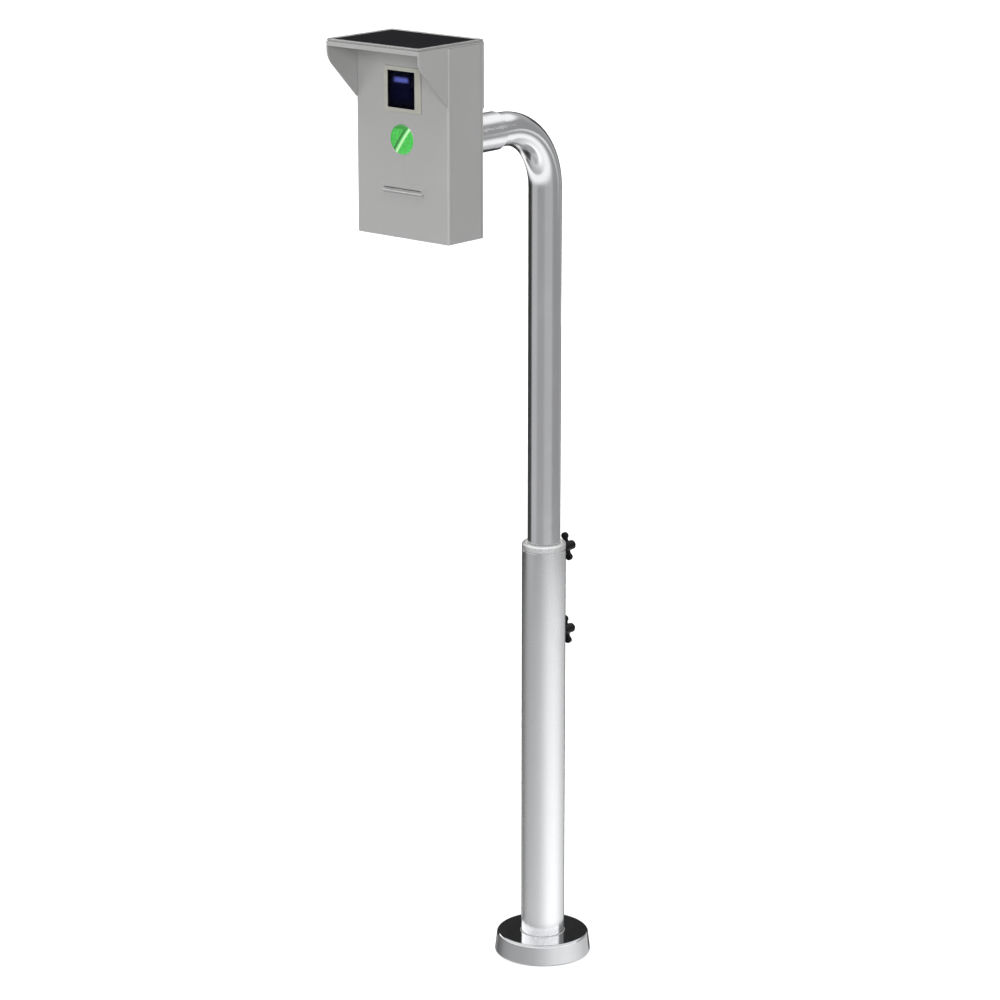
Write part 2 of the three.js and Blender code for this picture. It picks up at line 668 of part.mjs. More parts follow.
// Card slot: a frame with a lip that juts out under the slot.
function cardSlotBezel() {
  const plate = block([-39, FACE_Y - 1.8, -8.5], [39, FACE_Y - GAP, 7]);
  const nose = block([-35.5, FACE_Y - 1, -4.5], [35.5, FACE_Y + 3, 4.5]);
  const lipOutline = new THREE.Shape([
    new THREE.Vector2(FACE_Y - 1, -6.5), new THREE.Vector2(FACE_Y - 5, -5),
    new THREE.Vector2(FACE_Y - 5, -2.8), new THREE.Vector2(FACE_Y - 1, -1),
  ]);
  const lipW = SLOT_W + 4;
  const lip = sideways(lipOutline, -lipW / 2, lipW);
  const slot = block([-SLOT_W / 2, FACE_Y - 8, -0.5], [SLOT_W / 2, FACE_Y + 5, 3]);
  return cut(join(plate, nose, lip), slot);
}
add(head, 'card_slot_bezel', cardSlotBezel(), TRIM(), [0, 0, SLOT_Z]);

function cardReader() {
  const body = block([-42, FACE_Y + 3.4, -11], [42, FACE_Y + 46, 11]);
  return cut(body, block([-30, FACE_Y, 0], [30, FACE_Y + 40, 2.4]));
}
add(head, 'card_reader', cardReader(), CASE_METAL(), [0, 0, SLOT_Z]);

// ---------------------------------------------------------------- inside the head

const boardY = -250;
const insideBack = bodyBack - GAP;     // what stands on the back panel ends here
const STANDOFF_XS = [-54, 54];
const STANDOFF_ZS = [1266, 1338];

function controllerBoard() {
  const board = block([-60, boardY - BOARD_T, 1259], [60, boardY, 1345]);
  const processor = block([-18, boardY - 4, 1290], [18, boardY - 1, 1318]);
  const sockets = [-44, 30].map((x) => block([x, boardY - 12, 1262], [x + 16, boardY - 1, 1274]));
  return join(board, processor, ...sockets);
}
add(head, 'controller_board', controllerBoard(), BOARD());

const standoffPlaces = STANDOFF_XS.flatMap((x) => STANDOFF_ZS.map((z) => [x, 0, z]));
standoffPlaces.forEach((place, i) => {
  const standoff = level(3, boardY + GAP, BACK_Y - PANEL_T - GAP, 6);
  add(head, `board_standoff_${i + 1}`, standoff, FASTENER(), place);
});

function powerSupply() {
  const can = block([-55, -268, 1112], [55, insideBack, 1150]);
  const slots = [-40, -24, -8, 8, 24, 40].map((x) => block([x - 3, -270, 1120], [x + 3, -265, 1142]));
  return cut(can, ...slots);
}
add(head, 'power_supply', powerSupply(), CASE_METAL());

function terminalBlock() {
  const strip = block([-66, -243, 1160], [-40, insideBack, 1182]);
  const mouths = [-60, -53, -46].map((x) => level(2.2, -246, -236, 8).translate(x, 0, 1171));
  return cut(strip, ...mouths);
}
add(head, 'terminal_block', terminalBlock(), BLACK_PLASTIC());

const ANTENNA_Z = 1350;
const antennaBoard = block([-45, -278, ANTENNA_Z], [45, -242, ANTENNA_Z + BOARD_T]);
add(head, 'antenna_board', antennaBoard, BOARD());

export default post;
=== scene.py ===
"""Charging-point terminal post: the finished surfaces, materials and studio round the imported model."""

import json
import math
from collections import namedtuple

import bmesh
import bpy
from mathutils import Matrix, Vector


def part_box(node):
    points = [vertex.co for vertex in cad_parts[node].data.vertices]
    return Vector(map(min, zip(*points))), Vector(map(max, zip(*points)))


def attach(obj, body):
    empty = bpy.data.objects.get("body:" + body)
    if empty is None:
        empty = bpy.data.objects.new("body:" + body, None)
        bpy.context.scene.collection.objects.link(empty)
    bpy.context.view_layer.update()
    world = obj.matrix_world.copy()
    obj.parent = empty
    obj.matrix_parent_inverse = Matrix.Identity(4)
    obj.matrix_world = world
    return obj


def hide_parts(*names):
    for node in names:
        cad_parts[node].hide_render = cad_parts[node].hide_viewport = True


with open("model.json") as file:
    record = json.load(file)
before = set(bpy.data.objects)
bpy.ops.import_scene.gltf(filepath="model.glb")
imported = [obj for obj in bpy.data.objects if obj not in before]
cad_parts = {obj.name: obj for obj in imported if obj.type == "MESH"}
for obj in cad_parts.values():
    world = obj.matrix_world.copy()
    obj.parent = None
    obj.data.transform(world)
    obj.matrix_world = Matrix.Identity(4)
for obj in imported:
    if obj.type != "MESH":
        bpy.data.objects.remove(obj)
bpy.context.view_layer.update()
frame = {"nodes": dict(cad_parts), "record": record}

MM = 0.001
GAP = 0.3                 # room between neighbouring pieces, in millimetres as all shapes here
SIDES = 96


# ---------------- places read from the frame

Point = namedtuple("Point", "x y z")


def span(node):
    """Lowest corner, highest corner and centre of a CAD node, in millimetres."""
    low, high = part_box(node)
    corners = low, high, (low + high) / 2
    return [Point(*(value / MM for value in corner)) for corner in corners]


def box(node):
    return span(node)[:2]


def centre_of(node):
    return span(node)[2]


def reach(node):
    """Half the width of a CAD node along X, which is the radius of a round upright one."""
    low, high = box(node)
    return (high.x - low.x) / 2


def numbered(name, count=4):
    """The names of a node that comes several times."""
    return [f"{name}_{i}" for i in range(1, count + 1)]


LOWER_R = reach("lower_tube")
UPPER_R = reach("mast_tube")
SOCKET_R = reach("head_socket")
ARM_Z = centre_of("socket_flange").z
BEND_R = 92.2
HEAD_LOW, HEAD_HIGH = box("head_body")
FACE_Y = HEAD_LOW.y
CHEEK_SLOPE_Z = 1284.8               # where the hood's sloping cheeks meet the face
CLAMP_TILTS = {"upper": 15, "lower": 12}
CLAMP_HEIGHTS = {side: centre_of(f"{side}_clamp_stud").z for side in CLAMP_TILTS}
ANCHOR_CIRCLE_R = 49
ANCHOR_SEAT_Z = 8.3                  # underside of the anchors' washers
CLAMP_DRILL = (15, 45)               # from inside the lower tube to outside it, along Y
BACK_SCREW_HOLE_R = 2.4
FLANGE_HOLE_R = 3.3
DISPLAY_W = 48
DISPLAY_H = 49


# ---------------- mesh helpers

def new_object(name, mesh_builder, smooth_angle=35):
    """An object from a bmesh that mesh_builder fills, with its sharp edges kept sharp."""
    bm = bmesh.new()
    mesh_builder(bm)
    bmesh.ops.remove_doubles(bm, verts=bm.verts, dist=1e-7)
    bmesh.ops.recalc_face_normals(bm, faces=bm.faces)
    mesh = bpy.data.meshes.new(name)
    bm.to_mesh(mesh)
    bm.free()
    obj = bpy.data.objects.new(name, mesh)
    bpy.context.scene.collection.objects.link(obj)
    shade(obj, smooth_angle)
    return obj


def shade(obj, angle=35):
    """Smooth shading, with edges sharper than the angle kept crisp."""
    obj.data.shade_smooth()
    obj.data.set_sharp_from_angle(angle=math.radians(angle))


def apply_modifiers(obj, smooth_angle=35):
    """The evaluated mesh takes the place of the object's own mesh."""
    graph = bpy.context.evaluated_depsgraph_get()
    graph.update()
    mesh = bpy.data.meshes.new_from_object(obj.evaluated_get(graph))
    obj.modifiers.clear()
    old = obj.data
    obj.data = mesh
    bpy.data.meshes.remove(old)
    if smooth_angle:
        shade(obj, smooth_angle)
    return obj


def settle_normals(obj):
    """Flat faces keep their own direction, and the roundings between them carry the turn."""
    step = obj.modifiers.new("weighted_normals", "WEIGHTED_NORMAL")
    step.keep_sharp = True
    step.weight = 100
    return apply_modifiers(obj, smooth_angle=None)


def discard(obj):
    mesh = obj.data
    bpy.data.objects.remove(obj)
    bpy.data.meshes.remove(mesh)


def boolean(obj, tools, operation="DIFFERENCE"):
    """Cuts the tools from obj, or joins them to it, and removes the tools."""
    for tool in tools:
        step = obj.modifiers.new("boolean", "BOOLEAN")
        step.operation = operation
        step.solver = "EXACT"
        step.object = tool
    apply_modifiers(obj)
    for tool in tools:
        discard(tool)
    return obj


def bevelled(obj, width, segments=3, angle=40):
    """Rounds every edge that is sharper than the angle."""
    step = obj.modifiers.new("bevel", "BEVEL")
    step.width = width * MM
    step.segments = segments
    step.limit_method = "ANGLE"
    step.angle_limit = math.radians(angle)
    step.use_clamp_overlap = True
    step.harden_normals = False
    return apply_modifiers(obj)


def arc(centre, radius, start, end, steps):
    """Points of an arc in a plane, angles in degrees."""
    points = []
    for i in range(steps + 1):
        angle = math.radians(start + (end - start) * i / steps)
        points.append((centre[0] + radius * math.cos(angle), centre[1] + radius * math.sin(angle)))
    return points


def join_rings(bm, lower, upper):
    """A strip of faces between two rings of vertices. One of them may be a single point."""
    for i in range(len(lower)):
        j = (i + 1) % len(lower)
        corners = list(dict.fromkeys((lower[i], lower[j], upper[j], upper[i])))
        if len(corners) > 2:
            bm.faces.new(corners)


def lathe(name, profile, sides=SIDES, axis="Z", at=(0, 0, 0)):
    """A body turned about an axis from (radius, height) pairs: solid if it starts on the axis."""
    turn = {
        "Z": Matrix.Identity(4),
        "Y": Matrix.Rotation(math.radians(-90), 4, "X"),
        "-Y": Matrix.Rotation(math.radians(90), 4, "X"),
    }[axis]
    place = Matrix.Translation([value * MM for value in at]) @ turn

    def build(bm):
        rings = []
        for radius, height in [(r * MM, z * MM) for r, z in profile]:
            if radius == 0:
                rings.append([bm.verts.new(place @ Vector((0, 0, height)))] * sides)
                continue
            ring = []
            for i in range(sides):
                angle = 2 * math.pi * i / sides
                point = Vector((radius * math.cos(angle), radius * math.sin(angle), height))
                ring.append(bm.verts.new(place @ point))
            rings.append(ring)
        pairs = list(zip(rings, rings[1:]))
        if profile[0][0] > 0:
            pairs.append((rings[-1], rings[0]))
        for lower, upper in pairs:
            join_rings(bm, lower, upper)

    return new_object(name, build)


def rod(radius, start, end, at=(0, 0, 0), axis="Y", sides=32):
    """A plain round bar along an axis, to drill with or to join."""
    return lathe("rod", [(0, start), (radius, start), (radius, end), (0, end)], sides, axis, at)


def sweep(name, path, section):
    """A closed section carried along an open path that lies in the YZ plane, with flat ends."""
    def build(bm):
        rings = []
        for point, along in path:
            side = Vector((1, 0, 0))
            up = along.cross(side)
            rings.append([bm.verts.new((point + side * u + up * v) * MM) for u, v in section])
        for lower, upper in zip(rings, rings[1:]):
            join_rings(bm, lower, upper)
        bm.faces.new(rings[0])
        bm.faces.new(list(reversed(rings[-1])))

    return new_object(name, build)


def prism(name, outline, start, end, plane="XZ"):
    """An outline of (a, b) pairs pulled along the third axis from start to end."""
    def place(*corner):
        a, b, c = (value * MM for value in corner)
        return {"XY": (a, b, c), "XZ": (a, c, b), "YZ": (c, a, b)}[plane]

    def build(bm):
        first = [bm.verts.new(place(a, b, start)) for a, b in outline]
        last = [bm.verts.new(place(a, b, end)) for a, b in outline]
        bm.faces.new(first)
        bm.faces.new(list(reversed(last)))
        join_rings(bm, first, last)

    return new_object(name, build)


def rounded_rectangle(width, height, radius, centre=(0, 0), steps=6):
    """Corner points of a rectangle with rounded corners."""
    cx, cy = centre
    w = width / 2 - radius
    h = height / 2 - radius
    points = []
    for sx, sy, start in ((1, 1, 0), (-1, 1, 90), (-1, -1, 180), (1, -1, 270)):
        points += arc((cx + sx * w, cy + sy * h), radius, start, start + 90, steps)
    return points


def rectangle(x0, x1, y0, y1):
    return [(x0, y0), (x1, y0), (x1, y1), (x0, y1)]


def hex_bar(name, across, a, b, start, end, plane="XZ"):
    """A hexagonal bar of the given width across the flats, centred on (a, b)."""
    radius = across / math.sqrt(3)
    outline = arc((a, b), radius, 0, 300, 5)
    return prism(name, outline, start, end, plane)


def bead(name, centre_line, radius, sides=10, ripple=0.0, ripples=0):
    """A closed weld bead or ring along a loop of points."""
    count = len(centre_line)

    def build(bm):
        rings = []
        for i, point in enumerate(centre_line):
            along = (centre_line[(i + 1) % count] - centre_line[i - 1]).normalized()
            hint = Vector((0, 0, 1)) if abs(along.z) < 0.9 else Vector((1, 0, 0))
            side = along.cross(hint).normalized()
            up = side.cross(along)
            swell = 1 + ripple * math.sin(2 * math.pi * ripples * i / count)
            ring = []
            for k in range(sides):
                angle = 2 * math.pi * k / sides
                offset = side * math.cos(angle) + up * math.sin(angle)
                ring.append(bm.verts.new((point + offset * radius * swell) * MM))
            rings.append(ring)
        for i in range(count):
            join_rings(bm, rings[i], rings[(i + 1) % count])

    return new_object(name, build, 80)


# ---------------- material helpers

def scaled(color, factor, lift=0.0):
    """A lighter or darker version of a colour."""
    return tuple(c * factor + lift for c in color)


class Nodes:
    """Adds nodes to a tree. Sums take sockets and plain numbers alike."""

    def __init__(self, tree):
        self.tree = tree

    def node(self, kind, **settings):
        made = self.tree.nodes.new("ShaderNode" + kind)
        for key, value in settings.items():
            setattr(made, key, value)
        return made

    def link(self, source, target):
        self.tree.links.new(source, target)

    def math(self, operation, *sources):
        made = self.node("Math", operation=operation)
        for socket, source in zip(made.inputs, sources):
            if isinstance(source, (int, float)):
                socket.default_value = source
            else:
                self.link(source, socket)
        return made.outputs[0]

    def mapped(self, source, start, end, low=0.0, high=1.0, kind="SMOOTHSTEP"):
        """Goes from low to high as the source goes from start to end."""
        made = self.node("MapRange", interpolation_type=kind)
        self.link(source, made.inputs["Value"])
        sockets = ("From Min", "From Max", "To Min", "To Max")
        for socket, number in zip(sockets, (start, end, low, high)):
            made.inputs[socket].default_value = number
        return made.outputs["Result"]

    def axes_of(self, source):
        made = self.node("SeparateXYZ")
        self.link(source, made.inputs[0])
        return made.outputs


class Shader(Nodes):
    """A Principled material whose colour, roughness and bump are built from noise in object space."""

    def __init__(self, name, color, roughness, metallic=0.0, **constants):
        self.material = bpy.data.materials.new(name)
        self.material.use_nodes = True
        super().__init__(self.material.node_tree)
        self.base = self.tree.nodes["Principled BSDF"]
        self.base.inputs["Metallic"].default_value = metallic
        for socket, value in constants.items():
            self.base.inputs[socket.replace("_", " ")].default_value = value
        self.color = self.rgb(color)
        self.roughness = self.node("Value").outputs[0]
        self.roughness.default_value = roughness
        self.coordinates = self.node("TexCoord").outputs["Object"]
        self.height = None

    def rgb(self, color):
        made = self.node("RGB")
        made.outputs[0].default_value = (*color, 1)
        return made.outputs[0]

    def stretched(self, scale):
        """Object coordinates in metres, scaled along each axis or along all by one number."""
        made = self.node("Mapping")
        made.inputs["Scale"].default_value = (scale,) * 3 if isinstance(scale, (int, float)) else scale
        self.link(self.coordinates, made.inputs["Vector"])
        return made.outputs[0]

    def noise(self, scale, detail=4, roughness=0.55, distortion=0.0, vector=None):
        """Noise with features per metre, the same along all axes or given along X, Y and Z."""
        made = self.node("TexNoise")
        made.inputs["Scale"].default_value = 1.0
        made.inputs["Detail"].default_value = detail
        made.inputs["Roughness"].default_value = roughness
        made.inputs["Distortion"].default_value = distortion
        self.link(vector or self.stretched(scale), made.inputs["Vector"])
        return made.outputs["Fac"]

    def cells(self, scale):
        """Distance to the nearest of a scatter of points."""
        made = self.node("TexVoronoi", feature="F1")
        made.inputs["Scale"].default_value = 1.0
        self.link(self.stretched(scale), made.inputs["Vector"])
        return made.outputs["Distance"]

    def mix(self, factor, first, second):
        made = self.node("Mix", data_type="RGBA")
        self.link(factor, made.inputs["Factor"])
        self.link(first, made.inputs["A"])
        self.link(second, made.inputs["B"])
        return made.outputs["Result"]

    def tint(self, factor, color):
        """Blends a colour in where the factor is high."""
        self.color = self.mix(factor, self.color, self.rgb(color))

    def stain(self, source, start, end, amount, color):
        """Blends a colour in, up to the amount, as the source goes from start to end."""
        self.tint(self.mapped(source, start, end, 0.0, amount), color)

    def roughen(self, source, start, end, amount, both_ways=False):
        """Adds roughness up to the amount, or takes as much off where the source is low."""
        share = self.mapped(source, start, end, -1 if both_ways else 0)
        self.roughness = self.math("ADD", self.roughness, self.math("MULTIPLY", share, amount))

    def raise_height(self, factor, depth):
        """Adds a relief of the given depth in metres."""
        layer = self.math("MULTIPLY", factor, depth)
        self.height = layer if self.height is None else self.math("ADD", self.height, layer)

    def axes(self):
        return self.axes_of(self.coordinates)

    def offsets(self, node):
        """How far a point lies to the right of a CAD node's centre and above it, in metres."""
        x, _, z = self.axes()
        centre = centre_of(node)
        return self.math("SUBTRACT", x, centre.x * MM), self.math("SUBTRACT", z, centre.z * MM)

    def edge_wear(self, radius):
        """High where the surface turns sharply within the radius."""
        made = self.node("Bevel", samples=4)
        made.inputs["Radius"].default_value = radius
        normal = self.node("NewGeometry").outputs["Normal"]
        dot = self.node("VectorMath", operation="DOT_PRODUCT")
        self.link(made.outputs[0], dot.inputs[0])
        self.link(normal, dot.inputs[1])
        return self.mapped(dot.outputs["Value"], 0.995, 0.85)

    def glow(self, color, strength):
        """Gives off the colour's light."""
        self.link(color, self.base.inputs["Emission Color"])
        self.base.inputs["Emission Strength"].default_value = strength

    def done(self):
        self.link(self.color, self.base.inputs["Base Color"])
        self.link(self.roughness, self.base.inputs["Roughness"])
        if self.height is not None:
            bump = self.node("Bump")
            bump.inputs["Strength"].default_value = 1.0
            bump.inputs["Distance"].default_value = 1.0
            self.link(self.height, bump.inputs["Height"])
            self.link(bump.outputs["Normal"], self.base.inputs["Normal"])
        return self.material


def brushed_tube(name, grain, color=(0.60, 0.605, 0.615), roughness=0.17):
    """Satin stainless with fine brushing. The grain is features per metre along each axis."""
    s = Shader(name, color, roughness, metallic=1.0)
    fine = s.noise(grain, detail=3)
    broad = s.noise((14, 14, 5), detail=3)
    smudge = s.noise((38, 38, 26), detail=5, roughness=0.7)
    s.stain(fine, 0.3, 0.7, 0.18, scaled(color, 0.88))
    s.stain(broad, 0.4, 0.7, 0.35, scaled(color, 1.08))
    s.roughen(fine, 0.3, 0.7, 0.025, both_ways=True)
    s.roughen(smudge, 0.45, 0.75, 0.07)
    s.raise_height(fine, 0.0000014)
    return s.done()


def spun_steel(name, color=(0.45, 0.455, 0.465), roughness=0.07):
    """Polished cover with the faint rings of spinning, a little dust and handling marks."""
    s = Shader(name, color, roughness, metallic=1.0)
    x, y, z = s.axes()
    radius = s.math("SQRT", s.math("ADD", s.math("MULTIPLY", x, x), s.math("MULTIPLY", y, y)))
    place = s.node("CombineXYZ")
    s.link(s.math("MULTIPLY", radius, 2600.0), place.inputs[0])
    s.link(s.math("MULTIPLY", z, 900.0), place.inputs[1])
    rings = s.noise(None, detail=2, vector=place.outputs[0])
    smudge = s.noise(34, detail=5, roughness=0.7)
    dust = s.noise(900, detail=2)
    s.stain(rings, 0.35, 0.65, 0.16, (0.37, 0.375, 0.385))
    s.stain(dust, 0.68, 0.78, 0.3, (0.37, 0.36, 0.34))
    s.roughen(rings, 0.3, 0.7, 0.03)
    s.roughen(smudge, 0.5, 0.75, 0.09)
    s.raise_height(rings, 0.0000012)
    return s.done()


def turned_steel(name, color=(0.62, 0.625, 0.635), roughness=0.2, metallic=1.0):
    """Machined stainless, zinc plate or anodised metal with fine scratches."""
    s = Shader(name, color, roughness, metallic=metallic)
    grain = s.noise((1500, 1500, 420), detail=3)
    blotch = s.noise(120, detail=4)
    s.stain(blotch, 0.35, 0.7, 0.4, scaled(color, 0.8))
    s.roughen(grain, 0.3, 0.7, 0.05, both_ways=True)
    s.roughen(blotch, 0.4, 0.7, 0.08)
    s.raise_height(grain, 0.000003)
    return s.done()


def zinc_plate(name):
    """Zinc-plated steel with spangle, thin rust in scattered spots and settled dirt."""
    color = (0.47, 0.48, 0.50)
    s = Shader(name, color, 0.42, metallic=0.95)
    spangle = s.cells(320)
    blotch = s.noise(60, detail=5)
    rust = s.noise(140, detail=6, roughness=0.7)
    s.stain(spangle, 0.1, 0.8, 0.35, (0.58, 0.59, 0.61))
    s.stain(blotch, 0.5, 0.75, 0.6, (0.30, 0.30, 0.30))
    s.stain(rust, 0.66, 0.8, 0.7, (0.23, 0.11, 0.05))
    s.roughen(rust, 0.55, 0.8, 0.3)
    s.raise_height(rust, 0.00004)
    return s.done()


def silver_paint(name, color=(0.39, 0.39, 0.387)):
    """Satin silver-grey coating: metallic fleck, orange peel, rain streaks, dust and rubbed edges."""
    s = Shader(name, color, 0.42, metallic=0.35)
    fleck = s.noise(5200, detail=1)
    peel = s.noise(760, detail=2)
    cloud = s.noise((9, 9, 7), detail=4)
    streak = s.noise((210, 210, 5), detail=4, roughness=0.65)
    smudge = s.noise((30, 30, 24), detail=5, roughness=0.7)
    s.stain(fleck, 0.45, 0.75, 0.35, (0.50, 0.50, 0.495))
    s.stain(cloud, 0.35, 0.7, 0.25, scaled(color, 0.95))
    s.stain(streak, 0.56, 0.8, 0.22, (0.29, 0.285, 0.27))
    s.tint(s.edge_wear(0.0011), (0.50, 0.50, 0.49))
    s.roughen(smudge, 0.4, 0.75, 0.10)
    s.roughen(fleck, 0.3, 0.7, 0.04, both_ways=True)
    s.raise_height(peel, 0.000010)
    return s.done()


def satin_trim(name, color=(0.62, 0.62, 0.61), metallic=0.85):
    """Satin aluminium or silver moulding, brushed along X, brighter at its edges."""
    s = Shader(name, color, 0.27, metallic=metallic)
    grain = s.noise((60, 2400, 2400), detail=3)
    smudge = s.noise(40, detail=5, roughness=0.7)
    s.stain(grain, 0.3, 0.7, 0.3, scaled(color, 0.82))
    s.tint(s.edge_wear(0.0008), scaled(color, 1.2))
    s.roughen(smudge, 0.4, 0.75, 0.12)
    s.raise_height(grain, 0.000003)
    return s.done()


def black_gloss(name):
    """Dark glossy polycarbonate with fine scratches and settled dust."""
    s = Shader(name, (0.006, 0.006, 0.008), 0.05, Specular_IOR_Level=0.22)
    scratch = s.noise((30, 2600, 2600), detail=3, distortion=0.6)
    dust = s.noise(1300, detail=3)
    film = s.noise(26, detail=5, roughness=0.65)
    s.stain(dust, 0.66, 0.8, 0.3, (0.06, 0.059, 0.055))
    s.stain(film, 0.35, 0.75, 0.5, (0.014, 0.014, 0.015))
    s.roughen(scratch, 0.55, 0.75, 0.06)
    s.roughen(film, 0.4, 0.75, 0.04)
    s.raise_height(scratch, 0.0000005)
    return s.done()


def moulded(name, color, roughness, grain=1500, depth=0.000018, wear=1.7, specular=0.5):
    """Moulded plastic or rubber with a fine texture, colour drift and rubbed edges."""
    s = Shader(name, color, roughness, Specular_IOR_Level=specular)
    texture = s.noise(grain, detail=3)
    drift = s.noise(90, detail=4)
    dust = s.noise(420, detail=5, roughness=0.7)
    s.stain(drift, 0.35, 0.7, 0.5, scaled(color, 0.75))
    s.stain(dust, 0.62, 0.8, 0.22, scaled(color, wear, 0.02))
    s.tint(s.edge_wear(0.0007), scaled(color, wear, 0.01))
    s.roughen(drift, 0.3, 0.7, 0.07, both_ways=True)
    s.raise_height(texture, depth)
    return s.done()


def circuit_board(name):
    """Green solder mask with copper tracks under it and tinned pads."""
    s = Shader(name, (0.018, 0.145, 0.055), 0.36, Coat_Weight=0.25, Coat_Roughness=0.15)
    tracks = s.node("TexBrick", offset=0.5)
    layout = {"Scale": 1.0, "Mortar Size": 0.12, "Brick Width": 1.6, "Row Height": 0.5}
    for socket, number in layout.items():
        tracks.inputs[socket].default_value = number
    turn = s.node("Mapping")
    turn.inputs["Scale"].default_value = (230, 230, 230)
    turn.inputs["Rotation"].default_value = (math.radians(90), 0, 0)
    s.link(s.coordinates, turn.inputs["Vector"])
    s.link(turn.outputs[0], tracks.inputs["Vector"])
    s.tint(tracks.outputs["Fac"], (0.035, 0.24, 0.09))
    s.stain(s.cells(260), 0.16, 0.12, 0.9, (0.62, 0.60, 0.52))
    s.raise_height(tracks.outputs["Fac"], 0.00003)
    return s.done()


def display_glass(name):
    """Smoked hard-coated window with a trace of finger marks."""
    s = Shader(
        name, (0.20, 0.21, 0.30), 0.03, Transmission_Weight=1.0, IOR=1.1, Specular_IOR_Level=0.3
    )
    smear = s.noise(60, detail=5, roughness=0.7)
    dust = s.noise(1400, detail=2)
    s.stain(smear, 0.4, 0.75, 0.5, (0.17, 0.19, 0.28))
    s.roughen(smear, 0.5, 0.75, 0.08)
    s.roughen(dust, 0.7, 0.8, 0.15)
    return s.done()


def lit_screen(name):
    """Dark blue screen: a lighter bar near its top, a soft glow, and the fine grid of its cells."""
    s = Shader(name, (0.002, 0.0025, 0.006), 0.25, Specular_IOR_Level=0.05)
    across, above = s.offsets("display_window")

    def band(source, low, high, soft):
        rise = s.mapped(source, low - soft, low + soft)
        fall = s.mapped(source, high - soft, high + soft, 1.0, 0.0)
        return s.math("MULTIPLY", rise, fall)

    def patch(left, right, low, high, side_soft, level_soft):
        sideways = band(across, left * MM, right * MM, side_soft * MM)
        return s.math("MULTIPLY", sideways, band(above, low * MM, high * MM, level_soft * MM))

    bar = patch(-15, 10, 9.5, 15.5, 3.2, 2.2)
    halo = patch(-16, 14, -14, 17, 9, 9)
    cells = s.node("TexChecker")
    cells.inputs["Scale"].default_value = 2600.0
    s.link(s.coordinates, cells.inputs["Vector"])
    mottle = s.noise(300, detail=3)
    light = s.mix(bar, s.rgb((0.0012, 0.0012, 0.018)), s.rgb((0.24, 0.27, 0.72)))
    base = s.mix(halo, s.rgb((0.0, 0.0, 0.001)), light)
    speckled = s.mix(s.math("MULTIPLY", cells.outputs["Fac"], 0.2), base, s.rgb((0, 0, 0)))
    worn = s.mix(s.mapped(mottle, 0.5, 0.8, 0.0, 0.25), speckled, s.rgb((0, 0, 0.01)))
    s.glow(worn, 2.6)
    return s.done()


def green_lens(name):
    """Lit green lens with a pale slanting bar, which is a painted highlight standing for light on a
    raised bar, a dark one beside it, which is painted shade standing for a groove, and a dark upper
    segment.
    """
    s = Shader(name, (0.02, 0.42, 0.05), 0.2, Coat_Weight=0.6, Coat_Roughness=0.08)
    across, above = s.offsets("tap_target")
    lean = math.radians(36)
    over = s.math("MULTIPLY", across, math.cos(lean))
    over = s.math("SUBTRACT", over, s.math("MULTIPLY", above, math.sin(lean)))

    def stripe(middle, half, soft):
        offset = s.math("ABSOLUTE", s.math("SUBTRACT", over, middle))
        return s.mapped(offset, half - soft, half + soft, 1.0, 0.0)

    # Painted highlight and painted shade: the pale stripe stands for light on a raised bar and the dark
    # stripe for shade in a groove beside it. Neither the bar nor the groove is modelled.
    pale = stripe(2.6 * MM, 1.9 * MM, 0.9 * MM)
    dark = stripe(-2.8 * MM, 1.6 * MM, 1.0 * MM)
    segment = s.mapped(above, 12.5 * MM, 15.5 * MM)
    mottle = s.noise(240, detail=4)
    deep, bright = s.rgb((0.028, 0.38, 0.04)), s.rgb((0.05, 0.52, 0.065))
    green = s.mix(s.mapped(mottle, 0.3, 0.7), deep, bright)
    with_painted_groove_shade = s.mix(dark, green, s.rgb((0.012, 0.16, 0.02)))
    with_segment = s.mix(segment, with_painted_groove_shade, s.rgb((0.02, 0.25, 0.03)))
    s.color = s.mix(pale, with_segment, s.rgb((0.42, 0.78, 0.38)))
    s.glow(s.color, 0.22)
    s.raise_height(mottle, 0.00002)
    return s.done()


# ---------------- the materials in use

FINISHES = {
    "plate_steel": zinc_plate("plate_steel"),
    "fastener_steel": turned_steel("fastener_steel", (0.50, 0.50, 0.505), 0.28),
    "boss_steel": turned_steel("boss_steel", (0.52, 0.525, 0.535), 0.24),
    "stainless_tube": brushed_tube("tube_steel_upright", (2300, 2300, 26), roughness=0.25),
    "collar_steel": turned_steel("collar_steel", (0.58, 0.585, 0.59), 0.26, metallic=0.5),
    "polished_steel": spun_steel("polished_steel"),
    "silver_sheet": silver_paint("silver_paint"),
    "trim_metal": satin_trim("trim_metal", (0.40, 0.40, 0.395)),
    "slot_trim": satin_trim("slot_trim", (0.46, 0.46, 0.455), 0.3),
    "window_black": black_gloss("window_black"),
    "knob_black": moulded("knob_black", (0.0035, 0.0035, 0.004), 0.34, wear=1.6, specular=0.12),
    "terminal_black": moulded("terminal_black", (0.02, 0.02, 0.021), 0.5),
    "bezel_grey": moulded("bezel_grey", (0.43, 0.43, 0.38), 0.42, wear=1.15),
    "nylon": moulded("nylon", (0.60, 0.60, 0.56), 0.45, wear=1.1),
    "rubber": moulded("rubber", (0.014, 0.014, 0.014), 0.72, grain=900, depth=0.00003),
    "display_lens": display_glass("screen_glass"),
    "display_lcd": moulded("slot_dark", (0.012, 0.012, 0.012), 0.6),
    "target_green": green_lens("target_green"),
    "circuit_board": circuit_board("board_green"),
    "case_metal": turned_steel("case_metal", (0.50, 0.51, 0.52), 0.36),
}
ARM_STEEL = brushed_tube("tube_steel_level", (2300, 26, 2300))
MAST_STEEL = brushed_tube("mast_steel", (2300, 300, 60), roughness=0.14)
FLANGE_STEEL = turned_steel("flange_steel", (0.53, 0.535, 0.545), 0.26)
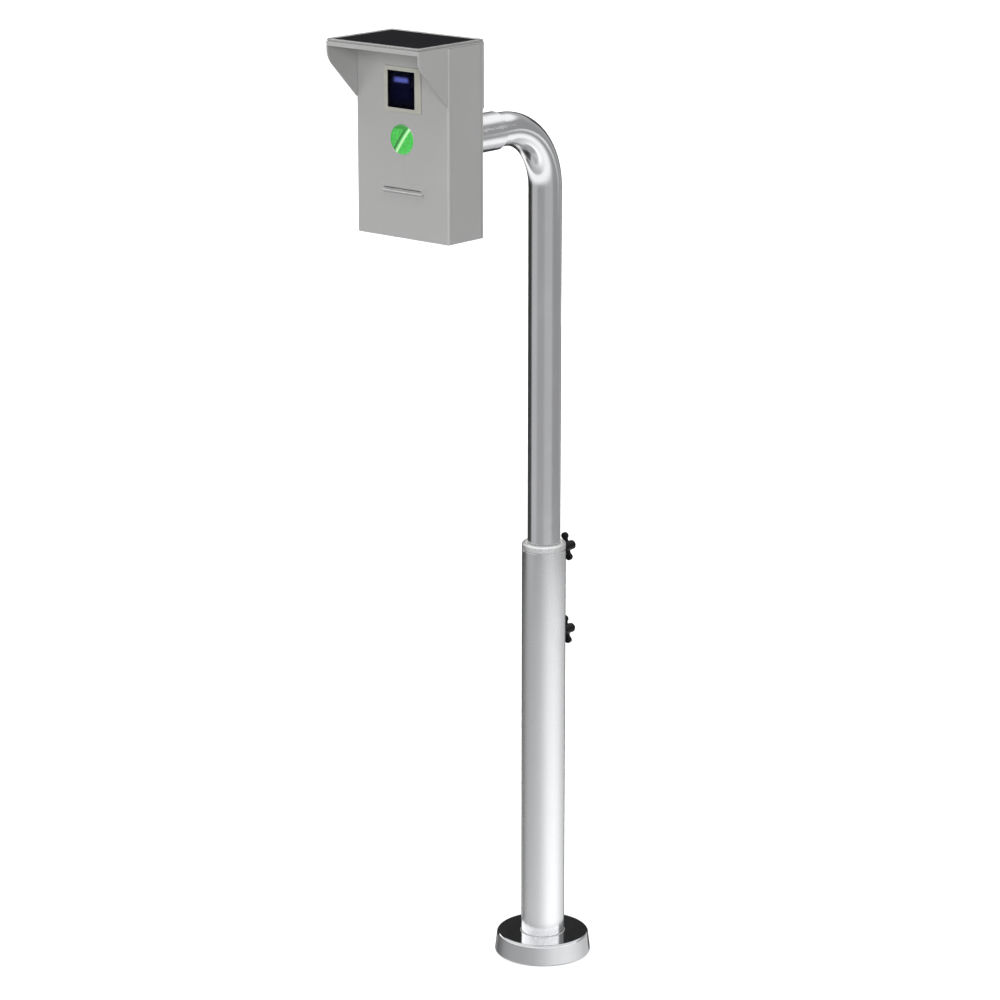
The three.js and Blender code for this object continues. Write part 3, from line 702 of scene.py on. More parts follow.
# Painted light: a slightly lighter copy of the silver paint for the hood, lifting the shaded inside of
# its cheeks as if more fill light reached under it.
HOOD_PAINT_WITH_PAINTED_FILL = silver_paint("hood_paint_with_painted_fill", (0.40, 0.40, 0.397))
SCREEN_LIT = lit_screen("screen_lit")


def finish_piece(piece, body, slot, *nodes, material=None):
    """Puts a piece on its body with the material of its slot, or the material given, and hides the CAD
    nodes it stands for.
    """
    settle_normals(piece)
    piece.data.materials.clear()
    piece.data.materials.append(material or FINISHES[slot])
    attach(piece, body)
    if nodes:
        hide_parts(*nodes)


# ---------------- base

def make_base_cover():
    """Spun cover: a rolled foot, a slightly leaning side, a soft shoulder and a flat top."""
    low, high = box("base_cover")
    foot_r = (high.x - low.x) / 2
    top_r = foot_r - 3.2
    wall = 1.2
    shoulder = 4.5
    hole_r = LOWER_R + 0.9
    top = high.z
    bottom = low.z
    outer = [(foot_r - 1.4, bottom)]
    outer += arc((foot_r - 1.3, bottom + 1.3), 1.3, -60, 15, 5)
    outer += [(foot_r - 0.5, bottom + 6), (top_r + 0.9, top - 8)]
    outer += arc((top_r - shoulder + 0.6, top - shoulder), shoulder, 5, 90, 10)
    outer += [(hole_r + 9, top), (hole_r + 1.2, top)]
    outer += arc((hole_r + 0.8, top - 0.6), 0.6, 90, 180, 3)
    inner = [(hole_r + 0.2, top - wall), (top_r - shoulder, top - wall)]
    inner += arc((top_r - shoulder, top - shoulder - wall), shoulder - 0.6, 85, 5, 6)
    inner += [(top_r - wall, top - 9), (foot_r - 2.4, bottom + 1)]
    cover = lathe("spun_base_cover", outer + inner, sides=128)
    finish_piece(cover, "foot_cover", "polished_steel", "base_cover")


def make_cover_seal():
    """Thin pale lip that closes the gap between cover and tube."""
    top = box("base_cover")[1].z
    inner = LOWER_R + 0.15
    profile = [
        (inner, top - 1.2), (LOWER_R + 0.75, top - 1.2),
        (LOWER_R + 0.75, top - 0.1), (inner + 0.2, top + 0.1),
    ]
    seal = lathe("cover_seal", profile, sides=96)
    finish_piece(seal, "foot_cover", "nylon")


def make_anchor_bolts():
    """Hexagon bolt, washer and a rounded thread end at each of the four anchors."""
    for i, node in enumerate(numbered("anchor_bolt")):
        low, high = box(node)
        angle = (i + 0.5) * math.pi / 2
        cx = ANCHOR_CIRCLE_R * math.cos(angle)
        cy = ANCHOR_CIRCLE_R * math.sin(angle)
        washer_top = ANCHOR_SEAT_Z + 2
        head = hex_bar("anchor_head", 17, cx, cy, washer_top, washer_top + 6.4, "XY")
        bevelled(head, 0.5, 2)
        washer_profile = [
            (4.9, ANCHOR_SEAT_Z), (10, ANCHOR_SEAT_Z), (10, washer_top - 0.4),
            (9.6, washer_top), (4.9, washer_top),
        ]
        washer = lathe("anchor_washer", washer_profile, sides=48, at=(cx, cy, 0))
        thread_profile = [(0, low.z), (4.9, low.z), (4.9, high.z - 1), (4.1, high.z), (0, high.z)]
        thread = lathe("anchor_thread", thread_profile, sides=32, at=(cx, cy, 0))
        bolt = boolean(head, [washer, thread], "UNION")
        bolt.name = f"{node}_hex"
        finish_piece(bolt, "post", "fastener_steel", node)


# ---------------- lower tube, collar and clamps

def make_lower_tube():
    low, high = box("lower_tube")
    wall = 2.5
    chamfer = 0.4
    profile = [
        (LOWER_R - wall, low.z), (LOWER_R, low.z), (LOWER_R, high.z - chamfer),
        (LOWER_R - chamfer, high.z), (LOWER_R - wall, high.z),
    ]
    tube = lathe("lower_tube_satin", profile)
    drills = [rod(4.6, *CLAMP_DRILL, (0, 0, height)) for height in CLAMP_HEIGHTS.values()]
    boolean(tube, drills)
    finish_piece(tube, "post", "stainless_tube", "lower_tube")


def make_collar():
    """Collar with a rounded top edge, a shallow groove at its foot and a bevelled mouth."""
    low, high = box("collar_ring")
    seat = high.z - 10
    inner = 26.8
    spigot = LOWER_R - 2.8
    profile = [
        (inner, low.z), (spigot, low.z), (spigot, seat), (LOWER_R - 1.0, seat),
        (LOWER_R - 1.0, seat + 1.0), (LOWER_R, seat + 1.5),
    ]
    profile += arc((LOWER_R - 3.0, high.z - 3.0), 3.0, 0, 90, 8)
    profile += [(inner + 0.8, high.z), (inner, high.z - 0.8)]
    collar = lathe("collar_turned", profile)
    finish_piece(collar, "post", "collar_steel", "collar_ring")


def make_upper_bush():
    low, high = box("upper_guide_bush")
    inner = 23.7
    outer = 26.5
    profile = [
        (inner, low.z), (outer, low.z), (outer, high.z - 0.4), (outer - 0.4, high.z),
        (inner + 1.0, high.z), (inner, high.z - 1.2),
    ]
    bush = lathe("upper_guide_bush_nylon", profile)
    boolean(bush, [rod(4.8, *CLAMP_DRILL, (0, 0, CLAMP_HEIGHTS["upper"]))])
    finish_piece(bush, "post", "nylon", "upper_guide_bush")


def saddle_loop(radius, tube_radius, height, lift, count=72):
    """The line where a round boss along Y meets the tube."""
    points = []
    for i in range(count):
        angle = 2 * math.pi * i / count
        x = radius * math.cos(angle)
        y = math.sqrt(tube_radius ** 2 - x ** 2) + lift
        points.append(Vector((x, y, height + radius * math.sin(angle))))
    return points


def make_clamp_boss(side):
    height = CLAMP_HEIGHTS[side]
    end = box(f"{side}_clamp_boss")[1].y
    outer = 8.5
    bore = 4.3
    profile = [
        (bore, 20), (outer, 20), (outer, end - 0.9), (outer - 0.9, end),
        (bore + 0.7, end), (bore, end - 0.7),
    ]
    boss = lathe(f"{side}_clamp_boss_turned", profile, sides=64, axis="Y", at=(0, 0, height))
    boolean(boss, [rod(LOWER_R + 0.3, height - 20, height + 20, axis="Z", sides=96)])
    finish_piece(boss, "post", "boss_steel", f"{side}_clamp_boss")
    loop = saddle_loop(outer + 0.3, LOWER_R, height, 0.35)
    weld = bead(f"{side}_boss_weld", loop, 0.95, ripple=0.16, ripples=24)
    finish_piece(weld, "post", "boss_steel")


def make_clamp_stud(side):
    low, high, centre = span(f"{side}_clamp_stud")
    crest = 3.9
    root = 3.55
    pitch = 1.25
    turns = int((high.y - low.y - 1.2) / pitch)
    profile = [(0, low.y), (root, low.y)]
    for i in range(turns):
        start = low.y + 0.5 + i * pitch
        profile += [(crest, start + 0.45 * pitch), (root, start + pitch)]
    profile += [(root, high.y), (0, high.y)]
    stud = lathe(f"{side}_clamp_stud_threaded", profile, sides=32, axis="Y", at=(centre.x, 0, centre.z))
    finish_piece(stud, f"{side}_knob", "fastener_steel", f"{side}_clamp_stud")


def make_clamp_wing(side):
    """Moulded wing knob: hub, neck and two rounded ears, melted together as one moulding."""
    height = CLAMP_HEIGHTS[side]
    low, high = box(f"{side}_clamp_wing")
    tilt = Matrix.Rotation(-math.radians(CLAMP_TILTS[side]), 4, "Y")
    middle = 52
    hub_r = 6.9
    profile = [(0, low.y), (5.6, low.y), (6.3, low.y + 0.8), (6.3, 45),
               (hub_r, 48), (hub_r, high.y - 4)]
    profile += arc((hub_r - 3.4, high.y - 3.4), 3.4, 0, 90, 6)
    profile += [(0, high.y)]
    hub = lathe("hub", profile, sides=48, axis="Y")
    parts = []
    for way in (-1, 1):
        centre_z = way * 15.5
        ear_r = 5.2
        thick = 3.5
        ear_profile = [(0, middle - thick), (ear_r - 1.2, middle - thick)]
        ear_profile += arc((ear_r - 1.6, middle - thick + 1.6), 1.6, -70, 0, 4)
        ear_profile += arc((ear_r - 1.6, middle + thick - 1.6), 1.6, 0, 70, 4)
        ear_profile += [(ear_r - 1.2, middle + thick), (0, middle + thick)]
        parts.append(lathe("ear", ear_profile, sides=40, axis="Y", at=(0, 0, centre_z)))
        neck = [(-3.6, 0), (3.6, 0), (2.3, centre_z * 0.62), (3.2, centre_z),
                (-3.2, centre_z), (-2.3, centre_z * 0.62)]
        parts.append(prism("neck", neck, middle - 2.9, middle + 2.9, "XZ"))
    boolean(hub, parts, "UNION")
    remesh = hub.modifiers.new("remesh", "REMESH")
    remesh.mode = "VOXEL"
    remesh.voxel_size = 0.45 * MM
    smooth = hub.modifiers.new("smooth", "SMOOTH")
    smooth.factor = 0.5
    smooth.iterations = 7
    apply_modifiers(hub, 60)
    boolean(hub, [rod(4.2, low.y - 1, 60)])
    hub.data.transform(Matrix.Translation((0, 0, height * MM)) @ tilt)
    shade(hub, 60)
    hub.name = f"{side}_wing_knob"
    finish_piece(hub, f"{side}_knob", "knob_black", f"{side}_clamp_wing")


# ---------------- mast and head mounting

def mast_path(bend_steps=40):
    """Points and directions: up from the lower end, round the bend, and level to the head."""
    low, _ = box("mast_tube")
    up = Vector((0, 0, 1))
    level = Vector((0, -1, 0))
    bend_z = ARM_Z - BEND_R
    path = [(Vector((0, 0, low.z)), up), (Vector((0, 0, (low.z + bend_z) / 2)), up)]
    for i in range(bend_steps + 1):
        angle = math.pi / 2 * i / bend_steps
        point = Vector((0, -BEND_R * (1 - math.cos(angle)), bend_z + BEND_R * math.sin(angle)))
        path.append((point, up * math.cos(angle) + level * math.sin(angle)))
    path.append((Vector((0, low.y, ARM_Z)), level))
    return path


def make_mast():
    circle = arc((0, 0), UPPER_R, 0, 360 - 360 / SIDES, SIDES - 1)
    bore = arc((0, 0), UPPER_R - 2, 0, 360 - 360 / SIDES, SIDES - 1)
    path = mast_path()
    mast = sweep("mast_tube_satin", path, circle)
    first_point, first_way = path[0]
    last_point, last_way = path[-1]
    longer = [(first_point - first_way * 10, first_way)] + path[1:-1]
    longer += [(last_point + last_way * 10, last_way)]
    boolean(mast, [sweep("bore", longer, bore)])
    finish_piece(mast, "mast", "stainless_tube", "mast_tube", material=MAST_STEEL)


def make_head_socket():
    """Sleeve over the arm's end, with a rolled mouth, and the holes for its two set screws from below.
    """
    low, high = box("head_socket")
    inner = UPPER_R + 0.3
    outer = SOCKET_R
    front = -low.y
    mouth = -high.y
    profile = [
        (inner, mouth + 0.5), (inner + 0.5, mouth), (outer - 0.9, mouth),
        (outer, mouth + 0.9), (outer, front), (inner, front),
    ]
    sleeve = lathe("head_socket_sleeve", profile, axis="-Y", at=(0, 0, ARM_Z))
    drills = [
        rod(3.3, ARM_Z - outer - 3, ARM_Z - inner + 1, (0, centre_of(screw).y, 0), "Z")
        for screw in numbered("socket_set_screw", 2)
    ]
    boolean(sleeve, drills)
    finish_piece(sleeve, "mast", "stainless_tube", "head_socket", material=ARM_STEEL)


def make_set_screws():
    for node in numbered("socket_set_screw", 2):
        low, high, centre = span(node)
        profile = [(0, low.z), (2.6, low.z), (3, low.z + 0.4), (3, high.z), (0, high.z)]
        screw = lathe("screw", profile, sides=32, at=(0, centre.y, 0))
        boolean(screw, [hex_bar("socket", 3, 0, centre.y, low.z - 1, low.z + 1.6, "XY")])
        screw.name = f"{node}_socketed"
        finish_piece(screw, "mast", "fastener_steel", node)


def holes_for(screws, radius, start, end):
    """Drills along Y through the places of a set of screws."""
    drills = []
    for screw in screws:
        place = centre_of(screw)
        drills.append(rod(radius, start, end, (place.x, 0, place.z), sides=24))
    return drills


def make_flange():
    low, high, centre = span("socket_flange")
    outline = rounded_rectangle(high.x - low.x, high.z - low.z, 6, (0, centre.z))
    plate = prism("socket_flange_plate", outline, low.y, high.y)
    tools = [rod(21, low.y - 1, high.y + 1, (0, 0, centre.z), sides=64)]
    tools += holes_for(numbered("flange_bolt"), FLANGE_HOLE_R, low.y - 1, high.y + 1)
    boolean(plate, tools)
    bevelled(plate, 0.5, 2)
    finish_piece(plate, "mast", "plate_steel", "socket_flange", material=FLANGE_STEEL)
    radius = SOCKET_R + 0.6
    ring = arc((0, ARM_Z), radius, 0, 360 - 360 / 96, 95)
    loop = [Vector((x, high.y + 0.6, z)) for x, z in ring]
    weld = bead("socket_weld", loop, 1.5, ripple=0.12, ripples=44)
    finish_piece(weld, "mast", "plate_steel", material=FLANGE_STEEL)


def make_flange_bolts():
    for node in numbered("flange_bolt"):
        low, high, place = span(node)
        head = hex_bar("bolt_head", 10, place.x, place.z, high.y - 4.5, high.y)
        bevelled(head, 0.45, 2)
        shank = rod(2.9, low.y, high.y - 3.5, (place.x, 0, place.z))
        nut = hex_bar("nut", 10, place.x, place.z, low.y + 2, low.y + 7)
        boolean(head, [shank, nut], "UNION")
        head.name = f"{node}_hex"
        finish_piece(head, "mast", "fastener_steel", node)


# ---------------- head shell

AERIAL_WELL = rectangle(-50, 50, -280, -240)


def make_head_body():
    """Folded sheet box with rounded upright folds and its openings in the face."""
    low, high = HEAD_LOW, HEAD_HIGH
    half = (high.x - low.x) / 2
    sheet = 2
    fold = 3
    outline = arc((half - fold, low.y + fold), fold, 0, -90, 8)
    outline += arc((-half + fold, low.y + fold), fold, -90, -180, 8)
    outline += [(-half, high.y), (half, high.y)]
    body = prism("head_body_shell", outline, low.z, high.z, "XY")
    bevelled(body, 1.1, 3, 60)
    inside = rectangle(-half + sheet, half - sheet, low.y + sheet, high.y + 2)
    display_z = centre_of("display_bezel").z
    slot_z = centre_of("card_reader").z
    start, end = low.y - 1, low.y + sheet + 1
    cutters = [
        prism("cavity", inside, low.z + sheet, high.z - sheet, "XY"),
        prism("display_hole", rectangle(-27, 27, display_z - 27.5, display_z + 27.5), start, end),
        rod(20.4, start, end, (0, 0, centre_of("tap_target").z), sides=96),
        prism("slot_hole", rectangle(-36, 36, slot_z - 5, slot_z + 5), start, end),
        prism("aerial_well", AERIAL_WELL, high.z - 3, high.z + 1, "XY"),
    ]
    boolean(body, cutters)
    finish_piece(body, "mast", "silver_sheet", "head_body")


def make_back_panel():
    low, high, centre = span("back_panel")
    outline = rounded_rectangle(high.x - low.x, high.z - low.z, 1.2, (0, centre.z), 4)
    panel = prism("back_panel_sheet", outline, low.y, high.y)
    start, end = low.y - 1, high.y + 1
    cutters = [rod(17, start, end, (0, 0, ARM_Z), sides=48)]
    cutters += holes_for(numbered("flange_bolt"), FLANGE_HOLE_R, start, end)
    cutters += holes_for(numbered("back_screw"), BACK_SCREW_HOLE_R, start, end)
    boolean(panel, cutters)
    bevelled(panel, 0.6, 3, 60)
    finish_piece(panel, "mast", "silver_sheet", "back_panel")


def make_back_screws():
    for node in numbered("back_screw"):
        low, high, centre = span(node)
        seat = high.y - 2.2
        profile = [(0, low.y), (1.9, low.y), (1.9, seat), (4, seat), (4, seat + 0.7)]
        profile += arc((2.2, high.y - 1.5), 1.5, 25, 90, 5)
        profile += [(0, high.y)]
        screw = lathe("screw", profile, sides=40, axis="Y", at=(centre.x, 0, centre.z))
        boolean(screw, [hex_bar("socket", 2.6, centre.x, centre.z, high.y - 1.3, high.y + 1)])
        screw.name = f"{node}_button"
        finish_piece(screw, "mast", "fastener_steel", node)


def make_hood():
    """One folded sheet: top, two sloping cheeks, a front lip and the lip down the back."""
    low, high = box("hood")
    half = (high.x - low.x) / 2
    sheet = 2
    fillet = 30
    rear = FACE_Y - GAP
    under = high.z - sheet
    corner_z = CHEEK_SLOPE_Z + (FACE_Y - low.y)
    arc_z = corner_z + fillet * math.tan(math.pi / 8)
    cheek = [(rear, under + 1), (low.y, under + 1)]
    cheek += arc((low.y + fillet, arc_z), fillet, 180, 225, 14)
    cheek += [(rear, CHEEK_SLOPE_Z + GAP)]
    back = high.y
    top = prism("hood_folded", rectangle(-half, half, low.y, back), under, high.z, "XY")
    parts = [
        prism("back_lip", rectangle(-half, half, back - sheet, back), low.z, high.z, "XY"),
        prism("front_lip", rectangle(-half, half, low.y, low.y + sheet), under - 4, high.z, "XY"),
        prism("cheek_left", cheek, -half, -half + sheet, "YZ"),
        prism("cheek_right", cheek, half - sheet, half, "YZ"),
    ]
    boolean(top, parts, "UNION")
    cutters = [prism("aerial_well", AERIAL_WELL, under - 1, high.z + 1, "XY")]
    cutters += holes_for(("back_screw_2", "back_screw_4"), BACK_SCREW_HOLE_R, back - sheet - 1, back + 1)
    boolean(top, cutters)
    bevelled(top, 0.55, 3, 60)
    # The hood's lighter paint is painted light for the shade under the hood.
    finish_piece(top, "mast", "silver_sheet", "hood", material=HOOD_PAINT_WITH_PAINTED_FILL)


TOP_RIM = 5


def top_opening(margin):
    """Outline inside the top frame's narrow rim, drawn in by the margin."""
    low, high, centre = span("top_frame")
    inset = 2 * (TOP_RIM + margin)
    return rounded_rectangle(high.x - low.x - inset, high.y - low.y - inset, 2, (0, centre.y))


def make_top_frame():
    """Narrow bright rim round the edge of the hood's top."""
    low, high, centre = span("top_frame")
    outline = rounded_rectangle(high.x - low.x, high.y - low.y, 3, (0, centre.y), 8)
    rim = prism("top_frame_trim", outline, low.z, high.z, "XY")
    boolean(rim, [prism("opening", top_opening(0), low.z - 1, high.z + 1, "XY")])
    bevelled(rim, 0.8, 3, 60)
    finish_piece(rim, "mast", "trim_metal", "top_frame")


def make_top_window():
    low, high = box("top_window")
    window = prism("top_window_gloss", top_opening(0.4), low.z, high.z, "XY")
    bevelled(window, 0.5, 3, 60)
    finish_piece(window, "mast", "window_black", "top_window")


# ---------------- face fittings

def make_display_bezel():
    """Flat frame with softened edges, broader at its right, and the skirt through the wall."""
    low, high, centre = span("display_bezel")
    wider = 4
    outline = rounded_rectangle(high.x - low.x + wider, high.z - low.z, 3, (wider / 2, centre.z), 8)
    bezel = prism("display_bezel_moulded", outline, low.y, FACE_Y - GAP)
    bevelled(bezel, 0.7, 3, 60)

    def display_outline(margin):
        """The display's outline, widened by a margin."""
        half_w = DISPLAY_W / 2 + margin
        half_h = DISPLAY_H / 2 + margin
        return rectangle(-half_w, half_w, centre.z - half_h, centre.z + half_h)

    boolean(bezel, [prism("skirt", display_outline(2.6), FACE_Y - 1, high.y)], "UNION")
    window = rounded_rectangle(DISPLAY_W, DISPLAY_H, 1, (0, centre.z), 4)
    opening = prism("opening", window, low.y - 1, high.y + 1)
    recess = prism("recess", display_outline(1.6), FACE_Y - 0.8, high.y + 1)
    boolean(bezel, [opening, recess])
    finish_piece(bezel, "mast", "bezel_grey", "display_bezel")


def make_display_window():
    low, high, centre = span("display_window")
    outline = rounded_rectangle(high.x - low.x, high.z - low.z, 1, (0, centre.z), 4)
    pane = prism("display_window_pane", outline, low.y, high.y)
    bevelled(pane, 0.3, 2, 60)
    finish_piece(pane, "mast", "display_lens", "display_window")


def make_display_screen():
    """The lit screen just in front of the display module's glass."""
    front = box("display_module")[0].y
    middle = (0, centre_of("display_window").z)
    outline = rounded_rectangle(DISPLAY_W + 0.6, DISPLAY_H + 0.6, 0.8, middle, 4)
    screen = prism("display_screen", outline, front - 0.12, front - 0.02)
    finish_piece(screen, "mast", "display_lcd", material=SCREEN_LIT)


def make_tap_target():
    """Domed lens and the thin ring, in the head's own coating, in which it sits."""
    low, high, centre = span("tap_target")
    radius = (high.x - low.x) / 2
    rim = -FACE_Y + 0.6
    top = -low.y
    bottom = -high.y
    dome = [
        (radius * math.cos(math.radians(a)), rim + (top - rim) * math.sin(math.radians(a)))
        for a in range(0, 90, 9)
    ]
    profile = [(0, bottom), (radius, bottom), *dome, (0, top)]
    lens = lathe("tap_target_lens", profile, axis="-Y", at=(0, 0, centre.z))
    finish_piece(lens, "mast", "target_green", "tap_target")
    inner, outer = radius + 0.15, radius + 1.6
    ring_profile = [
        (inner, -FACE_Y + 0.05), (outer, -FACE_Y + 0.05), (outer, -FACE_Y + 0.3),
        (outer - 0.4, -FACE_Y + 0.7), (inner + 0.35, -FACE_Y + 0.7), (inner, -FACE_Y + 0.4),
    ]
    ring = lathe("tap_target_ring", ring_profile, axis="-Y", at=(0, 0, centre.z))
    finish_piece(ring, "mast", "slot_trim", material=FINISHES["silver_sheet"])


def make_card_slot():
    """Quiet slot frame in the head's own coating, with a narrow mouth over a brighter lip."""
    low, high = box("card_slot_bezel")
    slot_z = span("card_reader")[2].z
    outline = rounded_rectangle(high.x - low.x, high.z - low.z, 2.5, (0, (low.z + high.z) / 2), 6)
    plate = prism("card_slot_moulded", outline, FACE_Y - 0.7, FACE_Y - 0.1)
    bevelled(plate, 0.5, 4, 60)
    nose = rectangle(-35.5, 35.5, slot_z - 4.5, slot_z + 4.5)
    boolean(plate, [prism("nose", nose, FACE_Y - 0.6, high.y)], "UNION")
    mouth = rectangle(-33, 33, slot_z - 0.5, slot_z + 1.1)
    boolean(plate, [prism("slot", mouth, FACE_Y - 8, high.y + 2)])
    finish_piece(plate, "mast", "slot_trim", "card_slot_bezel", material=FINISHES["silver_sheet"])
    lip_outline = [(FACE_Y - 0.75, slot_z - 6.5)]
    lip_outline += arc((FACE_Y - 3.7, slot_z - 3.4), 1.3, 270, 90, 8)
    lip_outline += [(FACE_Y - 0.75, slot_z - 1.2)]
    lip = prism("card_slot_lip", lip_outline, -32.5, 37, "YZ")
    bevelled(lip, 0.5, 3, 60)
    finish_piece(lip, "mast", "slot_trim")


# ---------------- carried-over CAD nodes

def dress_cad_nodes():
    """Every CAD node that still shows gets the procedural material of its slot."""
    for row in frame["record"]["subparts"]:
        node = frame["nodes"][row["node"]]
        if node.hide_render:
            continue
        node.data.materials.clear()
        node.data.materials.append(FINISHES[row["material_slot"]])
        shade(node, 30)


# ---------------- studio

def backing(azimuth, elevation):
    """Unit vector from the object towards a camera at that azimuth and elevation, in degrees."""
    a = math.radians(azimuth)
    e = math.radians(elevation)
    return Vector((math.sin(a) * math.cos(e), -math.cos(a) * math.cos(e), math.sin(e)))


CAMERA_AZIMUTH = 40.373
CAMERA_PITCH = 15.421


def make_camera():
    data = bpy.data.cameras.new("camera")
    data.lens = 123.54
    data.sensor_width = 36
    camera = bpy.data.objects.new("camera", data)
    bpy.context.scene.collection.objects.link(camera)
    camera.location = (2.9911, -3.6143, 1.9772)
    camera.rotation_mode = "QUATERNION"
    camera.rotation_quaternion = (-backing(CAMERA_AZIMUTH, CAMERA_PITCH)).to_track_quat("-Z", "Y")
    bpy.context.scene.camera = camera


def make_floor():
    """A large pale floor, which reflections and bounced light leave out."""
    half = 40000
    floor = prism("floor", rectangle(-half, half, -half, half), -20, -0.2, "XY")
    s = Shader("floor_pale", (0.93, 0.93, 0.93), 0.9)
    s.stain(s.noise(2), 0.3, 0.7, 0.3, (0.915, 0.915, 0.915))
    floor.data.materials.append(s.done())
    floor.visible_glossy = False
    floor.visible_diffuse = False


class StudioNodes(Nodes):
    """The sums that the studio's cards and its world share."""

    def blend(self, factor, first, second):
        """The first value where the factor is 0 and the second where it is 1."""
        kept = self.math("MULTIPLY", self.math("SUBTRACT", 1.0, factor), first)
        return self.math("ADD", kept, self.math("MULTIPLY", factor, second))

    def by_azimuth(self, axes, levels):
        """Brightness round the compass from (azimuth in degrees, level) pairs, levels up to 2."""
        azimuth = self.math("ARCTAN2", axes["X"], self.math("MULTIPLY", axes["Y"], -1.0))
        made = self.node("ValToRGB")
        share = self.math("ADD", self.math("DIVIDE", azimuth, 2 * math.pi), 0.5)
        self.link(share, made.inputs[0])
        stops = made.color_ramp.elements
        while len(stops) < len(levels):
            stops.new(0.5)
        for stop, (degrees, level) in zip(stops, levels):
            stop.position = (degrees + 180) / 360
            stop.color = (level / 2, level / 2, level / 2, 1)
        return self.math("MULTIPLY", made.outputs["Color"], 2.0)


EVEN = ((-180, 1.0), (180, 1.0))


def glow_material(name, heights, strengths, levels):
    """A glow that changes evenly from the lower height to the upper one, and round the compass."""
    material = bpy.data.materials.new(name)
    material.use_nodes = True
    material.node_tree.nodes.clear()
    s = StudioNodes(material.node_tree)
    output = s.node("OutputMaterial")
    glow = s.node("Emission")
    axes = s.axes_of(s.node("TexCoord").outputs["Object"])
    upward = s.mapped(axes["Z"], *heights, *strengths, kind="LINEAR")
    s.link(s.math("MULTIPLY", upward, s.by_azimuth(axes, levels)), glow.inputs["Strength"])
    s.link(glow.outputs[0], output.inputs["Surface"])
    return material


def only_reflected(card):
    """Reflections see the card, and nothing else does."""
    card.visible_camera = False
    card.visible_diffuse = False
    card.visible_transmission = False
    card.visible_shadow = False


def make_curved_card(name, azimuths, radius, heights, strengths, levels=EVEN):
    """A studio card curved round the post's axis, with its radius and heights in metres."""
    steps = 48
    start, end = azimuths

    def build(bm):
        columns = []
        for i in range(steps + 1):
            spoke = backing(start + (end - start) * i / steps, 0) * radius
            columns.append([bm.verts.new((spoke.x, spoke.y, height)) for height in heights])
        for left, right in zip(columns, columns[1:]):
            bm.faces.new((left[0], right[0], right[1], left[1]))

    card = new_object(name, build)
    card.data.materials.append(glow_material(name, heights, strengths, levels))
    only_reflected(card)


# What polished metal sees at the horizon, as (azimuth in degrees, brightness).
HORIZON = (
    (-180, 0.58), (-141, 0.60), (-138, 0.05), (-68, 0.06), (-53, 0.68), (-22, 0.68),
    (-6, 0.50), (28, 0.50), (46, 0.64), (86, 0.66), (102, 0.44), (165, 0.44), (180, 0.58),
)
# The surround of the lower tube and the foot, brightest to the right of the camera.
SURROUND = (
    (-180, 0.55), (-96, 0.16), (-78, 0.30), (-62, 0.46), (-40, 0.56), (-8, 0.62), (20, 0.72),
    (46, 0.98), (66, 1.22), (98, 1.32), (124, 1.18), (158, 0.80), (180, 0.70),
)
WHITE_GLOW = 1.5
SOFT_GLOW = 0.22
# Where the world's bands change, as the height of the direction looked in: up is 1, down is -1.
OVERHEAD = (0.50, 0.62)
GROUND_BAND = (-0.27, -0.50)
UNDERFOOT = (-0.70, -0.88)


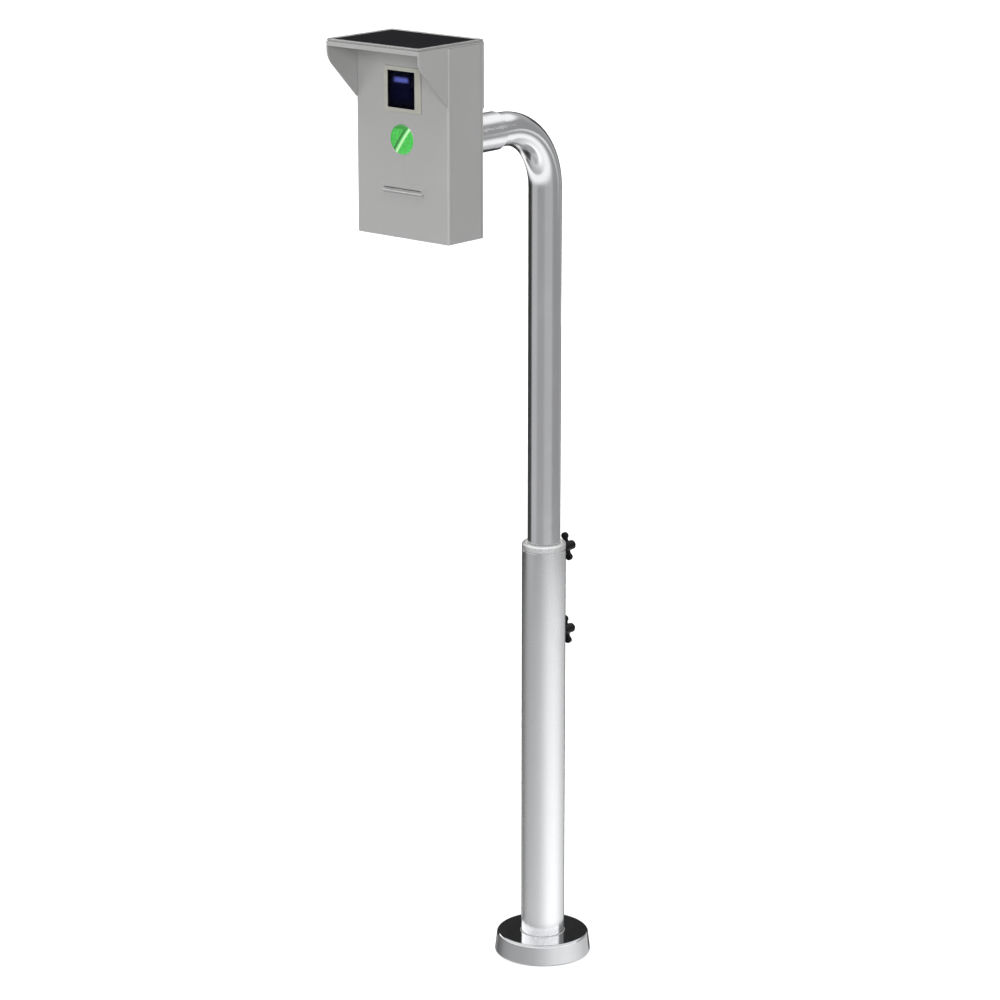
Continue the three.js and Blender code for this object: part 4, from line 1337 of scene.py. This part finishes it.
def make_world():
    """White to the camera, soft light on the object, and banded walls for polished metal."""
    world = bpy.data.worlds.new("studio")
    bpy.context.scene.world = world
    world.use_nodes = True
    s = StudioNodes(world.node_tree)
    axes = s.axes_of(s.node("TexCoord").outputs["Generated"])
    height = axes["Z"]
    walls = s.by_azimuth(axes, HORIZON)
    near_ground = s.math("MULTIPLY", walls, 1.25)
    below = s.blend(s.mapped(height, *UNDERFOOT), WHITE_GLOW, near_ground)
    lower = s.blend(s.mapped(height, *GROUND_BAND), walls, below)
    reflected = s.blend(s.mapped(height, *OVERHEAD), lower, WHITE_GLOW)
    path = s.node("LightPath")
    lighting = s.blend(path.outputs["Is Camera Ray"], SOFT_GLOW, 1.0)
    background = s.tree.nodes["Background"]
    background.inputs["Color"].default_value = (1, 1, 1, 1)
    strength = s.blend(path.outputs["Is Glossy Ray"], lighting, reflected)
    s.link(strength, background.inputs["Strength"])


def make_sun(name, azimuth, elevation, strength, softness):
    data = bpy.data.lights.new(name, "SUN")
    data.energy = strength
    data.angle = math.radians(softness)
    light = bpy.data.objects.new(name, data)
    bpy.context.scene.collection.objects.link(light)
    light.rotation_mode = "QUATERNION"
    light.rotation_quaternion = (-backing(azimuth, elevation)).to_track_quat("-Z", "Y")
    light.visible_glossy = False


def make_studio():
    make_world()
    make_sun("key_overhead", 0, 84, 2.9, 50)
    make_sun("key_front", 40, 8, 3.1, 30)
    make_sun("fill_left", -12, 12, 0.3, 40)
    make_sun("fill_behind", 212, 22, 2.2, 60)
    front = CAMERA_AZIMUTH
    behind = front + 180
    make_curved_card("card_behind", (behind - 34, behind + 34), 2.5, (0.45, 2.0), (0.06, 0.03))
    make_curved_card("card_behind_low", (188, 240), 2.2, (-0.9, 0.45), (0.02, 0.04))
    round_foot = (front - 137, front + 148)
    make_curved_card("surround_low", round_foot, 1.0, (-0.75, 0.30), (1.6, 1.0), SURROUND)
    make_curved_card("card_front_high", (front - 150, front + 96), 20.0, (6.6, 9.8), (4.4, 4.4))
    make_curved_card("card_arm_side", (136, 149), 1.5, (0.80, 1.14), (0.42, 1.5))
    view = bpy.context.scene.view_settings
    view.view_transform = "Standard"
    view.look = "None"


# ---------------- build

make_camera()
make_base_cover()
make_cover_seal()
make_anchor_bolts()
make_lower_tube()
make_collar()
make_upper_bush()
for clamp_side in CLAMP_TILTS:
    make_clamp_boss(clamp_side)
    make_clamp_stud(clamp_side)
    make_clamp_wing(clamp_side)
make_mast()
make_head_socket()
make_set_screws()
make_flange()
make_flange_bolts()
make_head_body()
make_back_panel()
make_back_screws()
make_hood()
make_top_frame()
make_top_window()
make_display_bezel()
make_display_window()
make_display_screen()
make_tap_target()
make_card_slot()
dress_cad_nodes()
make_floor()
make_studio()
